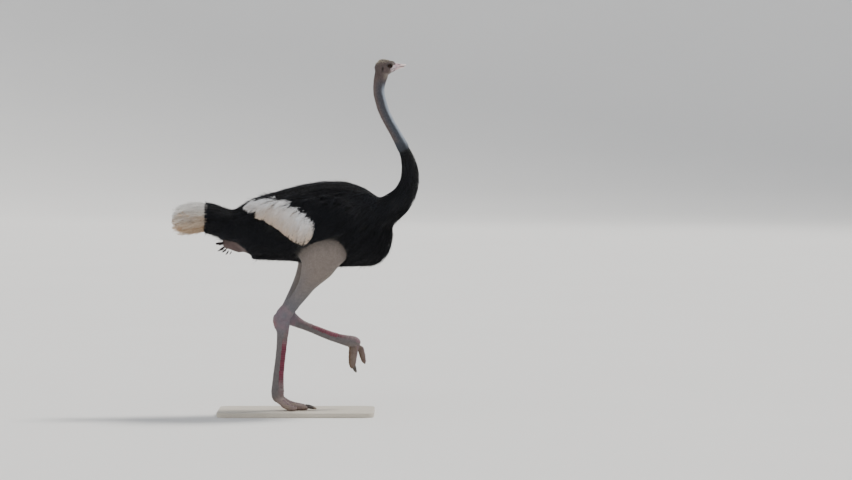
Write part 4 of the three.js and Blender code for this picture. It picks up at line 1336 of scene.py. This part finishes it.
for layer in BLACK_LAYERS:
    candidates, _ = scattered(coat_points, coat_corners, everywhere, 30000, plume_random)
    candidates = candidates[~((candidates[:, 2] > 1330) & (candidates[:, 0] > 520))]
    under_white_edge = over_white(candidates) & ~over_white(candidates, 0.3)
    under_white_edge &= height_in_patch(candidates) < 0.4
    candidates = candidates[~closed_off(candidates) | (under_white_edge & ~on_bare_skin(candidates))]
    roots = candidates[well_spaced(candidates, np.full(len(candidates), layer["spacing"]), plume_random)]
    front = step_between(roots[:, 0], 380, 600)
    rear = step_between(-roots[:, 0], 420, 560)
    lengths = layer["length"] * (1 - 0.42 * front - 0.35 * rear) * plume_random.uniform(0.8, 1.2, len(roots))
    reach = layer["reach"] * (1 - 0.3 * front - 0.2 * rear) * plume_random.uniform(0.85, 1.15, len(roots))
    under, over = layer["depths"]
    tip_depth = over + 9 * plume_random.random((len(roots), 1)) ** 1.5
    depths = under * (1 - stops) ** 1.8 + tip_depth * stops
    lines, outs = quills(coat_tree, roots, lengths, body_way, depths, plume_random, layer["wander"])
    lines, outs, kept, share = cut_back(lines, outs, closed_off, plume_random)
    reach = reach[kept] * (0.45 + 0.55 * share)
    vary = plume_random.uniform(0.7, 1.35, (len(lines), 1))
    root_tone, tip_tone = tints(BLACK_ROOT) * vary, tints(BLACK_TIP) * vary
    taken = np.zeros(len(lines), bool)
    for area, belongs in BODY_AREAS.items():
        chosen = belongs(lines[:, 0]) & ~taken
        taken |= chosen
        add_plumes(
            area_coats[area], lines[chosen], outs[chosen], reach[chosen], root_tone[chosen], tip_tone[chosen],
            plume_random, barbs=layer["barbs"], forbidden=closed_off, barb_width=layer["width"],
            rings=layer["rings"], open_angle=35, end_angle=6, curl=0.55, droop=0.1, frizz=0.17,
        )
for area, coat in area_coats.items():
    coat.piece(f"black_plumes_{area}", black_finish, "plumage_black")

# ---------------------------------------------------------------- neck feathers
# Short dense black tufts on the lower neck, growing into the plumes of the breast. They are made as the black
# plumes are, only smaller, and their upper edge runs down from the front of the neck to the back.

neck_random = np.random.default_rng(31)
neck_places = (coat_points[:, 2] > 1250) & (coat_points[:, 0] > 340)
neck_candidates, _ = scattered(coat_points, coat_corners, neck_places.astype(float), 22000, neck_random)
neck_top = 1668 + 0.55 * np.maximum(neck_candidates[:, 0] - 690, -200)
neck_top += neck_random.normal(0, 6, len(neck_candidates))
lowest = np.interp(neck_candidates[:, 0], [340, 460, 480], [1400, 1300, 1275])
neck_candidates = neck_candidates[(neck_candidates[:, 2] < neck_top) & (neck_candidates[:, 2] > lowest)]
thick = np.interp(neck_candidates[:, 2], [1300, 1450, 1650], [17, 13, 9.5])
roots = neck_candidates[well_spaced(neck_candidates, thick, neck_random)]
size = np.interp(roots[:, 2], [1300, 1420, 1560, 1660], [78, 50, 34, 20])
size *= neck_random.uniform(0.8, 1.2, len(roots))
tip_depth = neck_random.uniform(1, 4, len(roots))[:, None]
root_depth = np.interp(roots[:, 2], [1300, 1450, 1650], [15, 8, 6])[:, None]
depths = root_depth * (1 - stops) ** 1.6 + tip_depth * stops
lines, outs = quills(coat_tree, roots, size, body_way, depths, neck_random, 0.12)
vary = neck_random.uniform(0.7, 1.35, (len(lines), 1))
neck_coat = Coat()
add_plumes(
    neck_coat, lines, outs, size * 0.36, tints(BLACK_ROOT) * vary, tints(BLACK_TIP) * vary, neck_random,
    barbs=8, forbidden=lambda p: p[..., 2] < 0, barb_width=2.6, droop=0.08, open_angle=44, end_angle=10,
    curl=0.45,
)
neck_coat.piece("neck_feathers", black_finish, "plumage_black")

# ---------------------------------------------------------------- white wing plumes
# The cock's white flight plumes, that show below the black coverts of each closed wing: soft and overlapping,
# with long curling barbs. They run back along the top and hang down at the lower edge, where they are
# creamier: partly dust and partly painted shade.

WHITE_SPACING = 19.5


def white_way(points):
    """Which way a white plume lies: back along the top of the wing, and more and more downwards below."""
    low_steepness = np.interp(points[:, 0], [-330, -250, -150, 60], [38, 64, 76, 82])
    top_steepness = np.interp(points[:, 0], [-330, 0, 100], [14, 28, 66])
    height = height_in_patch(points)
    steepness = np.radians(low_steepness * (1 - height) + top_steepness * height)
    return np.stack([-np.cos(steepness), 0 * height, -np.sin(steepness)], 1)


# Soft white, a little dusty in patches.
white_finish = grained(
    "white_plume", 22.0, 4.0, (0.93, 1.05), (0.55, 0.8), Specular_IOR_Level=0.2, Sheen_Weight=0.2,
    Sheen_Roughness=0.5,
)
wing_random = np.random.default_rng(41)


def outside(points):
    """Where no white barb may end: beyond the white, or too far under the black coverts above it."""
    return ~(over_white(points, -0.01, -14) | over_white(points - [22, 0, 18], 0, -14))


for side_name, way in SIDES.items():
    on_side = (coat_points[:, 1] * way > 120).astype(float)
    places, _ = scattered(coat_points, coat_corners, on_side, 20000, wing_random)
    places = places[~outside(places)]
    roots = places[well_spaced(places, np.full(len(places), WHITE_SPACING), wing_random)]
    lengths = wing_random.uniform(80, 125, len(roots))
    depths = 11 * (1 - stops) ** 1.4 + wing_random.uniform(0, 3, (len(roots), 1)) * stops
    lines, outs = quills(coat_tree, roots, lengths, white_way, depths, wing_random, 0.1)
    lines, outs, kept, share = cut_back(lines, outs, outside, wing_random, least=0.2)
    tones = []
    # Creamier towards the lower edge of the white: partly dust and partly painted shade.
    for stop in (0, -1):
        height = height_in_patch(lines[:, stop])[:, None]
        dust_and_shade = np.clip(1.15 - 1.5 * height + wing_random.normal(0, 0.12, height.shape), 0, 1)
        tones.append(tints(WHITE_TOP) * (1 - dust_and_shade) + tints(WHITE_DUST_AND_SHADE) * dust_and_shade)
    coat = Coat()
    reach = 40.0 * (0.5 + 0.5 * share)
    add_plumes(
        coat, lines, outs, reach, tones[0], tones[1], wing_random, barbs=22, forbidden=outside,
        barb_width=2.7, rings=3, frizz=0.14, curl=0.5, open_angle=42, end_angle=8,
    )
    wing_piece = coat.piece(f"white_wing_plumes_{side_name}", white_finish, "plumage_white")
    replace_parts(wing_piece, f"wing_plumes_{side_name}")

# ---------------------------------------------------------------- tail plumes
# The short full tail: curled white plumes in rings round the end of the body, fluffed out and drooping at
# their tips. The lower ones are cream, partly earth and partly painted shade, with ochre earth stains.

TAIL_RINGS = [
    {"plumes": 30, "root": 88, "swell": 104, "tip": 92, "end": -752},
    {"plumes": 26, "root": 74, "swell": 96, "tip": 82, "end": -772},
    {"plumes": 20, "root": 54, "swell": 76, "tip": 64, "end": -786},
    {"plumes": 14, "root": 32, "swell": 48, "tip": 38, "end": -796},
    {"plumes": 8, "root": 14, "swell": 20, "tip": 14, "end": -799},
]
TAIL_START = -566
TAIL_END = -799  # where no barb may reach further
TAIL_LEVEL = 1238
TAIL_FLATTEN = 0.84
TAIL_WHITE = (252, 250, 246)
TAIL_CREAM_AND_SHADE = (226, 204, 178)
TAIL_OCHRE = (196, 150, 98)
tail_random = np.random.default_rng(51)
tail_coat = Coat()
for ring in TAIL_RINGS:
    count = ring["plumes"]
    turn = 2 * np.pi * (np.arange(count) + tail_random.uniform(-0.2, 0.2, count)) / count
    swept = turn[:, None] + tail_random.normal(0, 0.24, (count, 1)) * stops**1.5
    way_out = np.stack([0 * swept, np.sin(swept) * TAIL_FLATTEN, np.cos(swept)], 2)
    swell = ring["swell"] - (ring["root"] + ring["tip"]) / 2
    radius = ring["root"] * (1 - stops) + ring["tip"] * stops + swell * np.sin(np.pi * stops) ** 0.8
    length = (ring["end"] - TAIL_START) * tail_random.uniform(0.8, 1.0, count)
    lines = np.zeros((count, QUILL_STOPS, 3))
    lines[..., 0] = TAIL_START + length[:, None] * stops
    flare = tail_random.uniform(0.88, 1.0, (count, 1))
    flare = flare + tail_random.uniform(-0.16, 0.16, (count, 1)) * stops**2
    lines[..., 1:] = way_out[..., 1:] * (radius * flare)[..., None]
    lines[..., 2] += TAIL_LEVEL - 16 * stops**2 - 4
    outs = way_out + np.array([-0.25, 0, 0]) * stops[None, :, None]
    outs /= np.linalg.norm(outs, axis=2, keepdims=True)
    # Cream on the underside of the tail, partly earth and partly painted shade; ochre stains at random.
    low_side = np.clip(0.5 - 0.75 * np.cos(turn), 0, 1)[:, None]
    stain = tail_random.uniform(0, 1, (count, 1)) ** 1.3 * low_side
    worn = tail_random.uniform(0.84, 1.0, (count, 1))
    tone = tints(TAIL_WHITE) * (1 - low_side) + tints(TAIL_CREAM_AND_SHADE) * low_side
    tone = (tone * (1 - stain) + tints(TAIL_OCHRE) * stain) * worn
    add_plumes(
        tail_coat, lines, outs, np.full(count, 50.0), tone * 0.9, tone * 1.04, tail_random, barbs=34,
        forbidden=lambda p: p[..., 0] < TAIL_END, barb_width=2.8, rings=3, frizz=0.22, droop=0.12,
        open_angle=44, end_angle=14,
    )
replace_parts(tail_coat.piece("white_tail_plumes", white_finish, "plumage_white"), "tail_plumes")

# ---------------------------------------------------------------- vent fringe
# A few short ragged dark feathers behind the bare skin under the tail, worn down to stiff spines. Each is a
# single quill with short barbs, rooted in the edge of the bare skin.

FRINGE = [
    {"root": (-448, -6, 1077), "tip": (-511, -10, 1066), "reach": 18},
    {"root": (-446, 8, 1070), "tip": (-506, 14, 1060), "reach": 15},
    {"root": (-448, -8, 1055), "tip": (-493, -14, 1021), "reach": 16},
    {"root": (-440, 6, 1038), "tip": (-470, 10, 1012), "reach": 12},
    {"root": (-428, -5, 1027), "tip": (-447, -9, 998), "reach": 10},
    {"root": (-412, 4, 1020), "tip": (-423, 6, 999), "reach": 7},
]
FRINGE_END = -516  # where no barb may reach further
FRINGE_ROOT_TONE = (52, 42, 40)
FRINGE_TIP_TONE = (40, 30, 32)
fringe_random = np.random.default_rng(61)
fringe = Coat()
for feather in FRINGE:
    start, end = np.array(feather["root"], float), np.array(feather["tip"], float)
    line = start + (end - start) * stops[:, None] + np.array([0, 0, -3.0]) * np.sin(np.pi * stops)[:, None]
    outs = np.tile([0.1, -1.0, 0.2], (QUILL_STOPS, 1))
    root_tone, tip_tone = tints(FRINGE_ROOT_TONE), tints(FRINGE_TIP_TONE)
    add_plumes(
        fringe, line[None], outs[None], np.array([feather["reach"]]), root_tone, tip_tone, fringe_random,
        barbs=24, forbidden=lambda p: p[..., 0] < FRINGE_END, barb_width=3.2, rings=3, start=0.2, droop=0.0,
        open_angle=42, end_angle=10, frizz=0.06,
    )
fringe.piece("vent_fringe", black_finish, "plumage_black")

# ---------------------------------------------------------------- floor, light and camera
# A pale round studio: a flat floor that sweeps up into a wall, open above, with soft lamps and the camera.
# It is painted plaster, turned from one profile, and isn't part of the bird.

VIEW_POINT = (832.0, 0.0, 1088.0)  # what the camera looks at
VIEW_DISTANCE = 25000.0
VIEW_ELEVATION = math.radians(2.5)
VIEW_WIDTH = 5453.0  # how much the camera takes in across, at the bird
FLOOR_RADIUS = 32.0
SWEEP_RADIUS = 14.0
WALL_HEIGHT = 26.0
PLASTER = (222, 221, 218)
PLASTER_PALE = (226, 225, 222)
AIR_COLOUR = (0.86, 0.9, 1.0, 1)
AIR_STRENGTH = 0.62


def studio_paint():
    material = finish("studio_paint", Roughness=0.9, Specular_IOR_Level=0.1)
    place = wire(material, "TexCoord", {}).outputs["Object"]
    cloud = wire(material, "TexNoise", {"Vector": place, "Scale": 0.5, "Detail": 2.0})
    paint = blend_colours(material, cloud.outputs[0], colour(*PLASTER), colour(*PLASTER_PALE))
    connect(material, paint, "Base Color")
    return material


sweep = [(0.0, 0.0), (FLOOR_RADIUS, 0.0)]
sweep += [
    (FLOOR_RADIUS + SWEEP_RADIUS * math.sin(a), SWEEP_RADIUS - SWEEP_RADIUS * math.cos(a))
    for a in np.linspace(0.1, math.pi / 2, 12)
]
sweep += [(FLOOR_RADIUS + SWEEP_RADIUS, WALL_HEIGHT)]
studio = bmesh.new()
profile = [studio.verts.new((radius, 0, height)) for radius, height in sweep]
lines = [studio.edges.new(pair) for pair in zip(profile, profile[1:])]
bmesh.ops.spin(studio, geom=profile + lines, axis=(0, 0, 1), steps=96, angle=2 * math.pi, use_merge=True)
bmesh.ops.remove_doubles(studio, verts=studio.verts, dist=1e-4)
bmesh.ops.recalc_face_normals(studio, faces=studio.faces)
floor_mesh = bpy.data.meshes.new("studio_floor")
studio.to_mesh(floor_mesh)
studio.free()
floor_mesh.shade_smooth()
floor_mesh.materials.append(studio_paint())
studio_floor = bpy.data.objects.new("studio_floor", floor_mesh)
bpy.context.scene.collection.objects.link(studio_floor)


def lamp(name, energy, spread, way, tint):
    """A far soft lamp that shines along a direction."""
    light = bpy.data.lights.new(name, "SUN")
    light.energy = energy
    light.angle = math.radians(spread)
    light.color = tint
    holder = bpy.data.objects.new(name, light)
    holder.rotation_euler = Vector(way).to_track_quat("-Z", "Y").to_euler()
    bpy.context.scene.collection.objects.link(holder)


lamp("key", 3.6, 14, (-0.55, -0.3, -0.9), (1.0, 0.97, 0.92))
lamp("front_fill", 0.8, 60, (0.3, 0.9, -0.5), (0.93, 0.96, 1.0))
lamp("side_fill", 0.45, 40, (-0.8, 0.6, -0.4), (1.0, 0.98, 0.95))

world = bpy.data.worlds.new("studio_air")
bpy.context.scene.world = world
world.use_nodes = True
world.node_tree.nodes["Background"].inputs["Color"].default_value = AIR_COLOUR
world.node_tree.nodes["Background"].inputs["Strength"].default_value = AIR_STRENGTH

camera_data = bpy.data.cameras.new("camera")
camera = bpy.data.objects.new("camera", camera_data)
bpy.context.scene.collection.objects.link(camera)
bpy.context.scene.camera = camera
camera_data.sensor_fit = "HORIZONTAL"
camera_data.angle = 2 * math.atan(VIEW_WIDTH / 2 / VIEW_DISTANCE)
camera_data.clip_end = 200
away = Vector((0, -math.cos(VIEW_ELEVATION), math.sin(VIEW_ELEVATION)))
camera.location = Vector(in_frame(VIEW_POINT)) + away * VIEW_DISTANCE / 1000
camera.rotation_euler = (-away).to_track_quat("-Z", "Y").to_euler()
